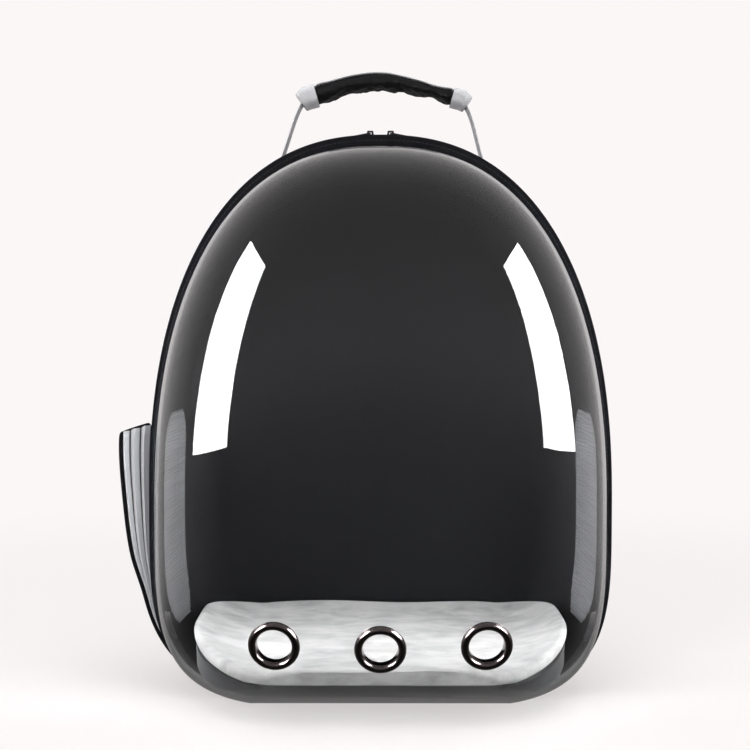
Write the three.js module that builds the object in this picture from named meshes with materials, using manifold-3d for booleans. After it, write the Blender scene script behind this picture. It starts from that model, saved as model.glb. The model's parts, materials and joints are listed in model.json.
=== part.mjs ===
// A bubble pet carrier backpack, in millimetres with +Z up. The clear bubble faces -Y, the wearer's
// back is at +Y, and the origin is on the floor under the middle of the moulded shell's flat base.
// A hard black fabric shell carries a clear bubble on a zipped rim. The bubble has three eyelet vents,
// each side of the shell has a mesh window, and the left window is covered by a pleated pocket.
import * as THREE from "three";
import { mergeVertices } from "three/addons/utils/BufferGeometryUtils.js";
import Module from "manifold-3d";

const wasm = await Module();
wasm.setup();

// The front outline: a flat-based egg, made of two superellipses that meet at the widest height.
const OUTLINE_HALF_WIDTH = 169;
const OUTLINE_HEIGHT = 410;
const WIDEST_HEIGHT = 140;
const CROWN_POWER = 2.35;
const BASE_POWER = 3.9;
const BASE_FLATTENING = 4; // the base curve is cut off this far above its lowest point
const OUTLINE_FINE_STEPS = 720; // before the outline's points are spaced evenly
const OUTLINE_STEPS = 40;

// Depths along Y. The rim plane is where the bubble meets the zip.
const RIM_Y = -60;
const CLEARANCE = 0.3; // between any two pieces that touch

// The shell
const SHELL_FRONT = 13; // its front edge, behind the rim plane
const SHELL_DEPTH = 150; // its back face, behind the rim plane
const SHELL_WALL = 3;
const SHELL_SET_IN = 2; // its sides lie inside the piping by this much
const SIDE_DRAFT = 7;
const CROWN_DRAFT = 18;
const BACK_ROUNDING = 38;
const ROUNDING_STEPS = 3;
// Sections from the front edge to the back rounding, as shares of the whole stretch or draft.
const SHELL_SECTIONS = [
  { depth: 0, side: 0, crown: 0 },
  { depth: 0.28, side: 0.12, crown: 0.08 },
  { depth: 0.64, side: 0.5, crown: 0.46 },
  { depth: 1, side: 1, crown: 1 },
];

// The rim: piping on the shell, the closed zip, and the binding that holds the bubble's flange
const PIPING_WIDTH = 4.6;
const PIPING_DEPTH = 4.7;
const ZIP_DEPTH = 8;
const ZIP_TAPE_INSET = 4.7;
const ZIP_TAPE_THICKNESS = 1.2;
const ZIP_COIL_INSET = 3.6;
const ZIP_COIL_WIDTH = 4.4;
const BINDING_INSET = 1.3;
const BINDING_WIDTH = 7.2; // at the sides
const BINDING_CROWN_WIDTH = 9.4;
const BINDING_BASE_WIDTH = 4;
const BINDING_DEPTH = 5.6;
const FLANGE_THICKNESS = 1.5;
const FLANGE_SHARE = 0.6; // of the binding's width, taken by the bubble's flange

// The bubble: every section is the flange's outline drawn in towards one focus
const BUBBLE_DEPTH = 112;
const BUBBLE_WALL = 1.5;
const BUBBLE_FOCUS = 150; // height of the focus
const BUBBLE_SIDE_POWER = 3;
const BUBBLE_DEPTH_POWER = 3.5;
const BUBBLE_TURNS = [0, 8, 18, 30, 44, 59, 75]; // degrees round the side, then the front pole

// The vents: rolled metal eyelets clenched through the bubble's wall
const VENT_HEIGHT = 57;
const VENT_SPACING = 71;
const VENT_SIDE_LIFT = 2.5; // the outer two sit this much higher
const VENT_HOLE_RADIUS = 11.9;
const VENT_RING_RADIUS = 17.6;
const VENT_BARREL_RADIUS = 13;
const VENT_ROLL_HEIGHT = 3.2;
const VENT_BACK_HEIGHT = 4.6;
const VENT_ROLL_FLAT = 0.4; // of the roll's half width, on its crest
const VENT_WASHER_SET_IN = 1; // the washer's back is this much inside the ring
const VENT_SIDES = 12;
const SLOPE_STEP = 4; // the bubble's slope is taken between points this far from a vent's middle

// The floor: a dark board under a pale mat, both laid in the curve of the base
const FLOOR_HALF_WIDTH = 137;
const FLOOR_BACK_MARGIN = 5;
const FLOOR_FRONT_MARGIN = 14;
const FLOOR_WALL_GAP = 2;
const BOARD_THICKNESS = 21;
const MAT_THICKNESS = 11;
const MAT_OVERHANG = 1.5; // past the board's edge
const FLOOR_WIDEST = 0.46; // where the floor is widest, as a share of its depth from the back
const FLOOR_BACK_POWER = 5; // a nearly straight back edge
const FLOOR_FRONT_POWER = 2.7; // a bowed front edge
const FLOOR_RING_SCALES = [0.5, 0.8, 1];
const FLOOR_STEPS = 32;

// The side windows
const WINDOW_BOTTOM = 52;
const WINDOW_HEIGHT = 148;
const WINDOW_SETBACK = 31; // from the rim plane to the opening
const WINDOW_DEPTH = 74;
const WINDOW_CORNER = 24;
const WINDOW_CORNER_STEPS = 3;
const MESH_THICKNESS = 1.2;
const MESH_MARGIN = 6; // the mesh laps the wall by this much
const TRIM_WIDTH = 6;
const TRIM_THICKNESS = 1.8;

// The pleated pocket on the left side
const POCKET_BOTTOM = 15;
const POCKET_HEIGHT = 184;
const POCKET_SETBACK = 16;
const POCKET_DEPTH = 104;
const POCKET_BULGE = 27;
const POCKET_TOP_SLANT = 6; // the panel's top edge is this much below the gusset's
const PLEATS = 3;
const PLEAT_DEPTH = 8;
const GUSSET_THICKNESS = 1.5;
const PANEL_THICKNESS = 1.6;
const PANEL_CROWN = 3;
const EDGING = 3; // the square section of the pocket's edging
const PANEL_COLUMNS = 4;
// How far the pocket stands off the shell, by height, as shares of its height and of its bulge.
const POCKET_PROFILE = [
  { height: 0, bulge: 0.2 },
  { height: 0.11, bulge: 0.26 },
  { height: 0.28, bulge: 0.37 },
  { height: 0.37, bulge: 0.43 },
  { height: 0.45, bulge: 0.63 },
  { height: 0.6, bulge: 0.78 },
  { height: 0.76, bulge: 0.88 },
  { height: 0.9, bulge: 0.97 },
  { height: 1, bulge: 1 },
];

// The carrying handle: one webbing strap over a soft grip, with a bound cap at each end of the grip
const HANDLE_SETBACK = 104; // from the rim plane
const HANDLE_SHIFT = 3; // it leans this far to the right
const HANDLE_FOOT_SPREAD = 88; // from the middle to each foot
const HANDLE_HALF_LENGTH = 52.5; // of the grip
const HANDLE_RISE = 100; // from the feet to the grip's highest point
const STRAP_WIDTH = 26;
const STRAP_THICKNESS = 1.3;
const GRIP_WIDTH = 31;
const GRIP_THICKNESS = 14;
const CAP_LENGTH = 12;
const CAP_DROP = 15; // from the grip's top to where the strap leaves a cap
const CAP_OVERHANG = 1.3;
const HANDLE_FOOT_LENGTH = 24; // of the strap's stitched ends, flat on the shell
const HANDLE_STEPS = 30;
const GRIP_SIDES = 10;
const GRIP_ROUNDNESS = 0.75; // 1 is an ellipse, 0 a rectangle
// A cap from the grip outward: shares of its length, of its drop, and of the grip's bound width and height.
const CAP_SECTIONS = [
  { along: 0, drop: 0, width: 1, height: 1 },
  { along: 0.6, drop: 0.12, width: 1, height: 1 },
  { along: 1, drop: 0.35, width: 0.94, height: 0.8 },
];
// The grip from left to right, as shares of its half length, of the rise and of its thickness.
const GRIP_SECTIONS = [
  { along: -1, crest: 0.906, body: 0.94 },
  { along: -0.8, crest: 0.935, body: 0.82 },
  { along: -0.58, crest: 0.967, body: 0.62 },
  { along: -0.42, crest: 0.985, body: 0.7 },
  { along: -0.18, crest: 1, body: 0.74 },
  { along: 0.06, crest: 0.996, body: 0.72 },
  { along: 0.28, crest: 0.972, body: 0.54 },
  { along: 0.52, crest: 0.94, body: 0.55 },
  { along: 0.75, crest: 0.9, body: 0.34 },
  { along: 0.9, crest: 0.885, body: 0.66 },
  { along: 1, crest: 0.876, body: 0.75 },
];

// The zip's two sliders and their pull tabs, closed at the crown
const SLIDER_OFFSET = 7.4; // from the middle to each pivot
const SLIDER_LENGTH = 10;
const SLIDER_WIDTH = 8;
const SLIDER_HEIGHT = 1.8;
const SLIDER_NOSE = 3.4; // from the pivot to the end under the pull
const BRIDGE_WIDTH = 2.2;
const BRIDGE_SPAN = 6;
const BRIDGE_BAR = 0.9;
const BRIDGE_TAPER = 0.7; // its top's length, as a share of its foot's
const BRIDGE_EYE_STEPS = 8;
const PIVOT_RADIUS = 0.5;
const PIVOT_HEIGHT = 1.6; // above the slider's body
const PULL_LENGTH = 36;
const PULL_WIDTH = 5.2;
const PULL_THICKNESS = 1.2;
const GRIP_SLOT_LENGTH = 10; // the slot near a pull's free end
const GRIP_SLOT_WIDTH = 2;
const GRIP_SLOT_PLACE = 28;
const PULL_REST_DEG = 11; // how far a resting pull slopes down from level

// The back: a padded panel with two shoulder straps
const PAD_MARGIN = 5;
const PAD_THICKNESS = 11;
const PAD_ROUNDING = 8;
// The pad's edge from the shell outward: shares of its thickness, and of the rounding that it is drawn in by.
const PAD_SECTIONS = [
  { out: 0, drawn: 0.3 },
  { out: 0.5, drawn: 0 },
  { out: 0.85, drawn: 0.35 },
  { out: 1, drawn: 1 },
];
const YOKE_WIDTH = 132;
const YOKE_HEIGHT = 30;
const YOKE_THICKNESS = 6;
const YOKE_DROP = 16; // from the pad's top edge
const SHOULDER_LENGTH = 178;
const SHOULDER_WIDTH = 56;
const SHOULDER_THICKNESS = 9;
const SHOULDER_BOW = 32; // how far a strap stands off the pad
const SHOULDER_TOP_SPREAD = 36;
const SHOULDER_SPLAY = 34; // how far a strap's lower end is outside its upper one
const SHOULDER_SIDES = 12;
const SHOULDER_ROUNDNESS = 0.5; // 1 is an ellipse, 0 a rectangle
const WEB_WIDTH = 24;
const WEB_THICKNESS = 1.6;
const BUCKLE_WIDTH = 34;
const BUCKLE_HEIGHT = 26;
const BUCKLE_THICKNESS = 4.6;
const BUCKLE_BAR = 4;
const LOOP_EASE = 0.6; // how loosely the webbing turns round the buckle's bar
const WEB_TAIL = 52;
const WEB_TURN_STEPS = 6;
// The webbing between its foot and the buckle: shares of the way across, of the way off the pad and up.
const WEB_CLIMB = [
  { across: 0.3, off: 0.2, up: 0.3 },
  { across: 0.8, off: 0.8, up: 0.7 },
];
const FOOT_WIDTH = 36;
const FOOT_HEIGHT = 30;
const FOOT_THICKNESS = 3;
const WEB_END_SET_IN = 3; // the webbing ends this far above the foot's lower edge
const FOOT_HEIGHT_ABOVE = 60; // of the foot's middle above the floor
const FOOT_SPREAD = 84;
// A shoulder strap from its top end down: shares of its length, splay, bow, width and thickness.
const SHOULDER_SECTIONS = [
  { down: 0, out: 0, bow: 0, width: 0.84, body: 0.66 },
  { down: 0.07, out: 0.03, bow: 0.24, width: 0.9, body: 1 },
  { down: 0.2, out: 0.16, bow: 0.68, width: 1, body: 1 },
  { down: 0.4, out: 0.45, bow: 1, width: 1, body: 1 },
  { down: 0.62, out: 0.74, bow: 0.96, width: 1, body: 1 },
  { down: 0.84, out: 0.95, bow: 0.76, width: 0.88, body: 1 },
  { down: 0.96, out: 1, bow: 0.6, width: 0.66, body: 0.9 },
  { down: 1, out: 1, bow: 0.56, width: 0.56, body: 0.6 },
];

const FINISH = {
  shell: { color: 0x16161a, roughness: 0.8, metalness: 0 },
  trim: { color: 0x0c0c0f, roughness: 0.7, metalness: 0 },
  clear: { color: 0xdfe3e8, roughness: 0.05, metalness: 0, transparent: true, opacity: 0.3 },
  gunmetal: { color: 0x4a4446, roughness: 0.25, metalness: 1 },
  mat: { color: 0xd6d6d4, roughness: 0.95, metalness: 0 },
  board: { color: 0x1d1d20, roughness: 0.8, metalness: 0 },
  mesh: { color: 0x9a9ba2, roughness: 0.8, metalness: 0 },
  silver: { color: 0xc4c6ca, roughness: 0.45, metalness: 0.1 },
  webbing: { color: 0x101013, roughness: 0.75, metalness: 0 },
  plastic: { color: 0x0e0e10, roughness: 0.45, metalness: 0 },
};

const radians = THREE.MathUtils.degToRad;
const lerp = THREE.MathUtils.lerp;

// How far the outline is from the widest height's middle, in the direction of an angle.
function outlineReach(angle) {
  const across = Math.abs(Math.cos(angle)) / OUTLINE_HALF_WIDTH;
  const up = Math.sin(angle) >= 0;
  const height = up ? OUTLINE_HEIGHT - WIDEST_HEIGHT : WIDEST_HEIGHT + BASE_FLATTENING;
  const power = up ? CROWN_POWER : BASE_POWER;
  return (across ** power + (Math.abs(Math.sin(angle)) / height) ** power) ** (-1 / power);
}

// The outline's right half from the base to the crown, evenly spaced, then its mirror image.
function outlineLoop() {
  const points = [];
  for (let i = 0; i <= OUTLINE_FINE_STEPS; i++) {
    const angle = -Math.PI / 2 + (Math.PI * i) / OUTLINE_FINE_STEPS;
    const reach = outlineReach(angle);
    points.push(new THREE.Vector2(reach * Math.cos(angle), WIDEST_HEIGHT + reach * Math.sin(angle)));
  }
  points[0].x = 0;
  points[OUTLINE_FINE_STEPS].x = 0;
  const curve = new THREE.SplineCurve(points);
  curve.arcLengthDivisions = OUTLINE_FINE_STEPS;
  const half = curve.getSpacedPoints(OUTLINE_STEPS / 2);
  const mirrored = half.slice(1, -1).reverse().map((p) => new THREE.Vector2(-p.x, p.y));
  return [...half, ...mirrored];
}

const OUTLINE = outlineLoop();
const OUTWARD = OUTLINE.map((p, i) => {
  const before = OUTLINE.at(i - 1);
  const after = OUTLINE[(i + 1) % OUTLINE.length];
  return new THREE.Vector2(after.y - before.y, before.x - after.x).normalize();
});

// The outline drawn in by its own amount at the sides, the crown and the base, at one depth.
function ring(y, side, crown = side, base = side) {
  return OUTLINE.map((p, i) => {
    const n = OUTWARD[i];
    const x = p.x - side * n.x;
    const z = p.y - (n.y > 0 ? crown : base) * n.y;
    return new THREE.Vector3(x, y, Math.max(z, base));
  });
}

function geometryOf(vertices, faces) {
  const geometry = new THREE.BufferGeometry();
  const numbers = vertices.flatMap((v) => v.toArray());
  geometry.setAttribute("position", new THREE.Float32BufferAttribute(numbers, 3));
  geometry.setIndex(faces.flat());
  return geometry;
}

// Skins a stack of rings. A Vector3 at either end closes it to a point, and closed joins last to first.
function skin(rings, closed = false) {
  const vertices = [];
  const starts = rings.map((r) => {
    const start = vertices.length;
    vertices.push(...(r.isVector3 ? [r] : r));
    return start;
  });
  const corners = (k, i, j) => (rings[k].isVector3 ? [starts[k], starts[k]] : [starts[k] + i, starts[k] + j]);
  const faces = [];
  const pairs = rings.length - (closed ? 0 : 1);
  for (let k = 0; k < pairs; k++) {
    const next = (k + 1) % rings.length;
    const count = rings[k].isVector3 ? rings[next].length : rings[k].length;
    for (let i = 0; i < count; i++) {
      const j = (i + 1) % count;
      const [a, b] = corners(k, i, j);
      const [c, d] = corners(next, i, j);
      if (a !== b) faces.push([a, b, d]);
      if (c !== d) faces.push([a, d, c]);
    }
  }
  return faceOut(geometryOf(vertices, faces));
}

// Skins rings that end in flat faces: each end is closed from the middle of its ring.
function capped(rings) {
  const middle = (r) => r.reduce((sum, p) => sum.add(p), new THREE.Vector3()).divideScalar(r.length);
  return skin([middle(rings[0]), ...rings, middle(rings.at(-1))]);
}

// Turns a closed geometry the right way out.
function faceOut(geometry) {
  const p = geometry.getAttribute("position");
  const index = geometry.getIndex().array;
  const corner = [new THREE.Vector3(), new THREE.Vector3(), new THREE.Vector3()];
  let volume = 0;
  for (let i = 0; i < index.length; i += 3) {
    corner.forEach((v, k) => v.fromBufferAttribute(p, index[i + k]));
    volume += corner[0].dot(corner[1].clone().cross(corner[2]));
  }
  if (volume < 0) {
    for (let i = 0; i < index.length; i += 3) {
      [index[i + 1], index[i + 2]] = [index[i + 2], index[i + 1]];
    }
  }
  return geometry;
}

// A three.js geometry as a solid that can be cut and joined.
function solid(geometry) {
  const bare = geometry.clone();
  bare.deleteAttribute("normal");
  bare.deleteAttribute("uv");
  const merged = mergeVertices(bare, 1e-4);
  return new wasm.Manifold(
    new wasm.Mesh({
      numProp: 3,
      vertProperties: new Float32Array(merged.getAttribute("position").array),
      triVerts: new Uint32Array(merged.getIndex().array),
    }),
  );
}

// The largest body of a cut solid, without the slivers that a cut leaves beside it.
function mainBody(body) {
  return body.decompose().toSorted((a, b) => b.volume() - a.volume())[0];
}

// The solid's surface as a three.js geometry.
function surface(body) {
  const mesh = body.getMesh();
  const geometry = new THREE.BufferGeometry();
  geometry.setAttribute("position", new THREE.BufferAttribute(new Float32Array(mesh.vertProperties), 3));
  geometry.setIndex(new THREE.BufferAttribute(new Uint32Array(mesh.triVerts), 1));
  return geometry;
}

// A ring of constant section round the outline: the section's points hold an inset and a depth.
function rimRing(section) {
  return skin(section.map(([inset, depth]) => ring(RIM_Y + depth, inset)), true);
}

// The inset at the sides, the crown and the base, at a share of the way across the binding.
function acrossBinding(share, further = 0) {
  const widths = [BINDING_WIDTH, BINDING_CROWN_WIDTH, BINDING_BASE_WIDTH];
  return widths.map((width) => BINDING_INSET + share * width + further);
}

// The shell's skin at a distance outside its outer face, from the front edge to the back face.
function shellRings(outside) {
  const straight = SHELL_DEPTH - BACK_ROUNDING - SHELL_FRONT;
  const rings = SHELL_SECTIONS.map((s) =>
    ring(
      RIM_Y + SHELL_FRONT + s.depth * straight,
      SHELL_SET_IN + s.side * SIDE_DRAFT - outside,
      SHELL_SET_IN + s.crown * CROWN_DRAFT - outside,
      -outside,
    ),
  );
  const radius = BACK_ROUNDING + outside;
  for (let k = 1; k <= ROUNDING_STEPS; k++) {
    const turn = ((Math.PI / 2) * k) / ROUNDING_STEPS;
    const drawn = BACK_ROUNDING - radius * Math.cos(turn);
    rings.push(
      ring(
        RIM_Y + SHELL_DEPTH - BACK_ROUNDING + radius * Math.sin(turn),
        SHELL_SET_IN + SIDE_DRAFT + drawn,
        SHELL_SET_IN + CROWN_DRAFT + drawn,
        drawn,
      ),
    );
  }
  return rings;
}

// The middle of the shell's back face, at a distance outside it.
function backPole(outside) {
  return new THREE.Vector3(0, RIM_Y + SHELL_DEPTH + outside, BUBBLE_FOCUS);
}

// A layer that follows the shell between two distances outside its outer face.
function shellLayer(inner, outer) {
  return solid(skin([
    backPole(outer),
    ...shellRings(outer).reverse(),
    ...shellRings(inner),
    backPole(inner),
  ]));
}

// Where the shell's outer face is at one depth: its half width at a height, and its height at a width.
function shellSection(depth) {
  const rings = shellRings(0);
  const y = RIM_Y + depth;
  const k = Math.max(0, rings.findIndex((r) => r[0].y >= y) - 1);
  const share = (y - rings[k][0].y) / (rings[k + 1][0].y - rings[k][0].y);
  return rings[k].map((p, i) => p.clone().lerp(rings[k + 1][i], share));
}

function crossing(loop, key, value, result) {
  const half = loop.slice(0, OUTLINE_STEPS / 2 + 1);
  for (let i = half.length - 1; i > 0; i--) {
    const [a, b] = [half[i][key], half[i - 1][key]];
    if ((a - value) * (b - value) <= 0 && a !== b) {
      return lerp(half[i][result], half[i - 1][result], (value - a) / (b - a));
    }
  }
  return half[0][result];
}

const shellHalfWidth = (depth, z) => crossing(shellSection(depth), "z", z, "x");
const shellCrown = (depth, x) => crossing(shellSection(depth), "x", Math.abs(x), "z");

// A prism along X with a rounded rectangular outline, drawn between depths and heights.
function sidePrism(margin, fromX, toX) {
  const low = new THREE.Vector2(RIM_Y + WINDOW_SETBACK - margin, WINDOW_BOTTOM - margin);
  const high = new THREE.Vector2(low.x + WINDOW_DEPTH + 2 * margin, low.y + WINDOW_HEIGHT + 2 * margin);
  const r = WINDOW_CORNER + margin;
  const shape = new THREE.Shape();
  shape.absarc(high.x - r, high.y - r, r, 0, Math.PI / 2);
  shape.absarc(low.x + r, high.y - r, r, Math.PI / 2, Math.PI);
  shape.absarc(low.x + r, low.y + r, r, Math.PI, Math.PI * 1.5);
  shape.absarc(high.x - r, low.y + r, r, Math.PI * 1.5, Math.PI * 2);
  const length = toX - fromX;
  const prism = new THREE.ExtrudeGeometry(shape, {
    depth: length,
    bevelEnabled: false,
    curveSegments: WINDOW_CORNER_STEPS,
  });
  // The shape's own x and y become the part's Y and Z, and the extrusion runs along +X.
  prism.applyMatrix4(new THREE.Matrix4().makeBasis(
    new THREE.Vector3(0, 1, 0),
    new THREE.Vector3(0, 0, 1),
    new THREE.Vector3(1, 0, 0),
  ));
  prism.translate(fromX, 0, 0);
  return solid(indexed(prism));
}

function indexed(geometry) {
  geometry.deleteAttribute("normal");
  geometry.deleteAttribute("uv");
  return mergeVertices(geometry, 1e-4);
}

function box(width, depth, height, x, y, z) {
  return solid(indexed(new THREE.BoxGeometry(width, depth, height).translate(x, y, z)));
}

// The bubble's skin at a distance outside its outer face, from the flange to the front pole.
function bubbleRings(outside) {
  const base = ring(0, ...acrossBinding(1, CLEARANCE - outside));
  const front = BUBBLE_DEPTH + outside;
  return BUBBLE_TURNS.map((turn) => {
    const scale = Math.cos(radians(turn)) ** (2 / BUBBLE_SIDE_POWER);
    const share = Math.sin(radians(turn)) ** (2 / BUBBLE_DEPTH_POWER);
    return base.map((p) => new THREE.Vector3(
      p.x * scale,
      flangeFront() - share * front,
      BUBBLE_FOCUS + (p.z - BUBBLE_FOCUS) * scale,
    ));
  });
}

const flangeFront = () => RIM_Y - (BINDING_DEPTH + FLANGE_THICKNESS) / 2 - CLEARANCE / 2;

function bubblePole(outside) {
  return new THREE.Vector3(0, flangeFront() - BUBBLE_DEPTH - outside, BUBBLE_FOCUS);
}

// The bubble with its flange, before the vents are cut.
function bubbleWall() {
  const flangeEdge = acrossBinding(1 - FLANGE_SHARE, CLEARANCE);
  const flangeBack = flangeFront() + FLANGE_THICKNESS;
  return solid(skin([
    bubblePole(0),
    ...bubbleRings(0).reverse(),
    ring(flangeFront(), ...flangeEdge),
    ring(flangeBack, ...flangeEdge),
    ring(flangeBack, ...acrossBinding(1, CLEARANCE + BUBBLE_WALL)),
    ...bubbleRings(-BUBBLE_WALL).slice(1),
    bubblePole(-BUBBLE_WALL),
  ]));
}

// A layer between two distances outside the bubble's outer face, open at the flange.
function bubbleLayer(inner, outer) {
  return solid(skin([
    bubblePole(outer),
    ...bubbleRings(outer).reverse(),
    ...bubbleRings(inner),
    bubblePole(inner),
  ]));
}

// The depth of the bubble's outer face over a point of the outline's plane.
function bubbleFace(x, z) {
  const base = ring(0, ...acrossBinding(1, CLEARANCE));
  const way = new THREE.Vector2(x, z - BUBBLE_FOCUS);
  const reach = Math.max(...base.map((p, i) => {
    const q = base[(i + 1) % base.length];
    const a = new THREE.Vector2(p.x, p.z - BUBBLE_FOCUS);
    const edge = new THREE.Vector2(q.x - p.x, q.z - p.z);
    const t = a.cross(edge) / way.cross(edge);
    const along = a.cross(way) / way.cross(edge);
    return along >= 0 && along <= 1 && t > 0 ? t : 0;
  }));
  const scale = Math.min(1, 1 / reach);
  return flangeFront() - BUBBLE_DEPTH * (1 - scale ** BUBBLE_SIDE_POWER) ** (1 / BUBBLE_DEPTH_POWER);
}

// The place and outward direction of a vent on the bubble.
function ventSeat(side) {
  const x = side * VENT_SPACING;
  const z = VENT_HEIGHT + Math.abs(side) * VENT_SIDE_LIFT;
  const slope = (a, b) => (a - b) / (2 * SLOPE_STEP);
  const slopeX = slope(bubbleFace(x + SLOPE_STEP, z), bubbleFace(x - SLOPE_STEP, z));
  const slopeZ = slope(bubbleFace(x, z + SLOPE_STEP), bubbleFace(x, z - SLOPE_STEP));
  return {
    at: new THREE.Vector3(x, bubbleFace(x, z), z),
    out: new THREE.Vector3(slopeX, -1, slopeZ).normalize(),
  };
}

// Turns a lathe about +Y so that its axis points out of the bubble at a vent.
function seated(profile, seat) {
  const points = profile.map(([radius, height]) => new THREE.Vector2(radius, height));
  const lathe = new THREE.LatheGeometry([...points, points[0]], VENT_SIDES);
  const turn = new THREE.Quaternion().setFromUnitVectors(new THREE.Vector3(0, 1, 0), seat.out);
  lathe.applyQuaternion(turn);
  lathe.translate(...seat.at.toArray());
  return solid(faceOut(indexed(lathe)));
}

function ventDrill(radius, seat) {
  const reach = VENT_RING_RADIUS;
  return seated([[0, -reach], [radius, -reach], [radius, reach], [0, reach]], seat);
}

function ventRing(side) {
  const seat = ventSeat(side);
  const roll = (VENT_RING_RADIUS - VENT_HOLE_RADIUS) / 2;
  const crest = VENT_HOLE_RADIUS + roll;
  const blank = seated([
    [VENT_HOLE_RADIUS, -VENT_BACK_HEIGHT],
    [VENT_RING_RADIUS - VENT_WASHER_SET_IN, -VENT_BACK_HEIGHT],
    [VENT_RING_RADIUS, 0],
    [crest + roll * VENT_ROLL_FLAT, VENT_ROLL_HEIGHT],
    [crest - roll * VENT_ROLL_FLAT, VENT_ROLL_HEIGHT],
    [VENT_HOLE_RADIUS, 0],
  ], seat);
  const wall = bubbleLayer(-BUBBLE_WALL - CLEARANCE, CLEARANCE);
  return surface(blank.subtract(wall.subtract(ventDrill(VENT_BARREL_RADIUS, seat))));
}

function bubble() {
  let wall = bubbleWall();
  for (const side of [-1, 0, 1]) {
    wall = wall.subtract(ventDrill(VENT_BARREL_RADIUS + CLEARANCE, ventSeat(side)));
  }
  return surface(wall);
}

const WINDOW_REACH = OUTLINE_HALF_WIDTH * 1.2; // past the shell's side
const WINDOW_START = OUTLINE_HALF_WIDTH * 0.5; // inside the shell

function shell() {
  const pan = shellLayer(-SHELL_WALL, 0);
  const cut = pan.subtract(sidePrism(0, WINDOW_START, WINDOW_REACH));
  return surface(cut.subtract(sidePrism(0, -WINDOW_REACH, -WINDOW_START)));
}

const sideSpan = (side) => (side > 0 ? [WINDOW_START, WINDOW_REACH] : [-WINDOW_REACH, -WINDOW_START]);

function windowMesh(side) {
  const inner = -SHELL_WALL - CLEARANCE - MESH_THICKNESS;
  const layer = shellLayer(inner, inner + MESH_THICKNESS);
  return surface(layer.intersect(sidePrism(MESH_MARGIN, ...sideSpan(side))));
}

function windowTrim(side) {
  const layer = shellLayer(CLEARANCE, CLEARANCE + TRIM_THICKNESS);
  const frame = sidePrism(TRIM_WIDTH, ...sideSpan(side)).subtract(sidePrism(0, ...sideSpan(side)));
  return surface(layer.intersect(frame));
}

// The height of the shell's inner floor across the width.
function floorCurve(x) {
  const across = Math.min(1, Math.abs(x) / (OUTLINE_HALF_WIDTH - SHELL_SET_IN));
  const fall = (1 - across ** BASE_POWER) ** (1 / BASE_POWER);
  return Math.max(0, WIDEST_HEIGHT - (WIDEST_HEIGHT + BASE_FLATTENING) * fall) + SHELL_WALL;
}

// A D-shaped layer of the floor between two heights above the shell's inner floor.
function floorLayer(low, high, spread = 0) {
  const back = RIM_Y + SHELL_DEPTH - SHELL_WALL - FLOOR_BACK_MARGIN;
  const front = bubblePole(-BUBBLE_WALL).y + FLOOR_FRONT_MARGIN;
  const middle = lerp(back, front, FLOOR_WIDEST);
  const loop = (scale, height) => {
    const points = [];
    for (let i = 0; i < FLOOR_STEPS; i++) {
      const angle = (2 * Math.PI * i) / FLOOR_STEPS;
      const [c, s] = [Math.cos(angle), Math.sin(angle)];
      const reach = s > 0 ? back - middle : middle - front;
      const power = s > 0 ? FLOOR_BACK_POWER : FLOOR_FRONT_POWER;
      const r = (Math.abs(c / FLOOR_HALF_WIDTH) ** power + Math.abs(s / reach) ** power) ** (-1 / power);
      const x = (scale * r + spread) * c;
      points.push(new THREE.Vector3(x, middle + (scale * r + spread) * s, floorCurve(x) + height));
    }
    return points;
  };
  const centre = (height) => new THREE.Vector3(0, middle, floorCurve(0) + height);
  return solid(skin([
    centre(low),
    ...FLOOR_RING_SCALES.map((s) => loop(s, low)),
    ...FLOOR_RING_SCALES.toReversed().map((s) => loop(s, high)),
    centre(high),
  ]));
}

function floorMat() {
  return surface(floorLayer(BOARD_THICKNESS, BOARD_THICKNESS + MAT_THICKNESS).intersect(roomInside()));
}

// The board fills the space under the mat, and its top is cut to the mat's underside.
function floorBoard() {
  const matSpace = floorLayer(BOARD_THICKNESS - CLEARANCE, BOARD_THICKNESS + MAT_THICKNESS);
  const blank = floorLayer(0, BOARD_THICKNESS + CLEARANCE, -MAT_OVERHANG).intersect(roomInside());
  return surface(mainBody(blank.subtract(matSpace)));
}

// The space inside the shell and the bubble, a little clear of their walls.
function roomInside() {
  const behind = shellRings(-SHELL_WALL - FLOOR_WALL_GAP);
  const before = bubbleRings(-BUBBLE_WALL - FLOOR_WALL_GAP);
  return solid(skin([
    bubblePole(-BUBBLE_WALL - FLOOR_WALL_GAP),
    ...before.reverse(),
    ...behind,
    backPole(-SHELL_WALL - FLOOR_WALL_GAP),
  ]));
}

// A closed sheet between two equal grids of points.
function sheet(front, back) {
  const columns = front[0].length;
  const vertices = [...front.flat(), ...back.flat()];
  const offset = front.length * columns;
  const at = (side, r, c) => side * offset + r * columns + c;
  const faces = [];
  const quad = (a, b, c, d) => faces.push([a, b, c], [a, c, d]);
  for (let r = 0; r + 1 < front.length; r++) {
    for (let c = 0; c + 1 < columns; c++) {
      quad(at(0, r, c), at(0, r, c + 1), at(0, r + 1, c + 1), at(0, r + 1, c));
      quad(at(1, r, c), at(1, r + 1, c), at(1, r + 1, c + 1), at(1, r, c + 1));
    }
    quad(at(0, r, 0), at(0, r + 1, 0), at(1, r + 1, 0), at(1, r, 0));
    quad(at(0, r, columns - 1), at(1, r, columns - 1), at(1, r + 1, columns - 1), at(0, r + 1, columns - 1));
  }
  const last = front.length - 1;
  for (let c = 0; c + 1 < columns; c++) {
    quad(at(0, 0, c), at(1, 0, c), at(1, 0, c + 1), at(0, 0, c + 1));
    quad(at(0, last, c), at(0, last, c + 1), at(1, last, c + 1), at(1, last, c));
  }
  return faceOut(geometryOf(vertices, faces));
}

// A point of the pocket, from its depth, its height and its distance outside the shell.
function pocketPoint(depth, z, outside) {
  return new THREE.Vector3(-shellHalfWidth(depth, z) - outside, RIM_Y + depth, z);
}

const POCKET_BACK = POCKET_SETBACK + POCKET_DEPTH;

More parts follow.
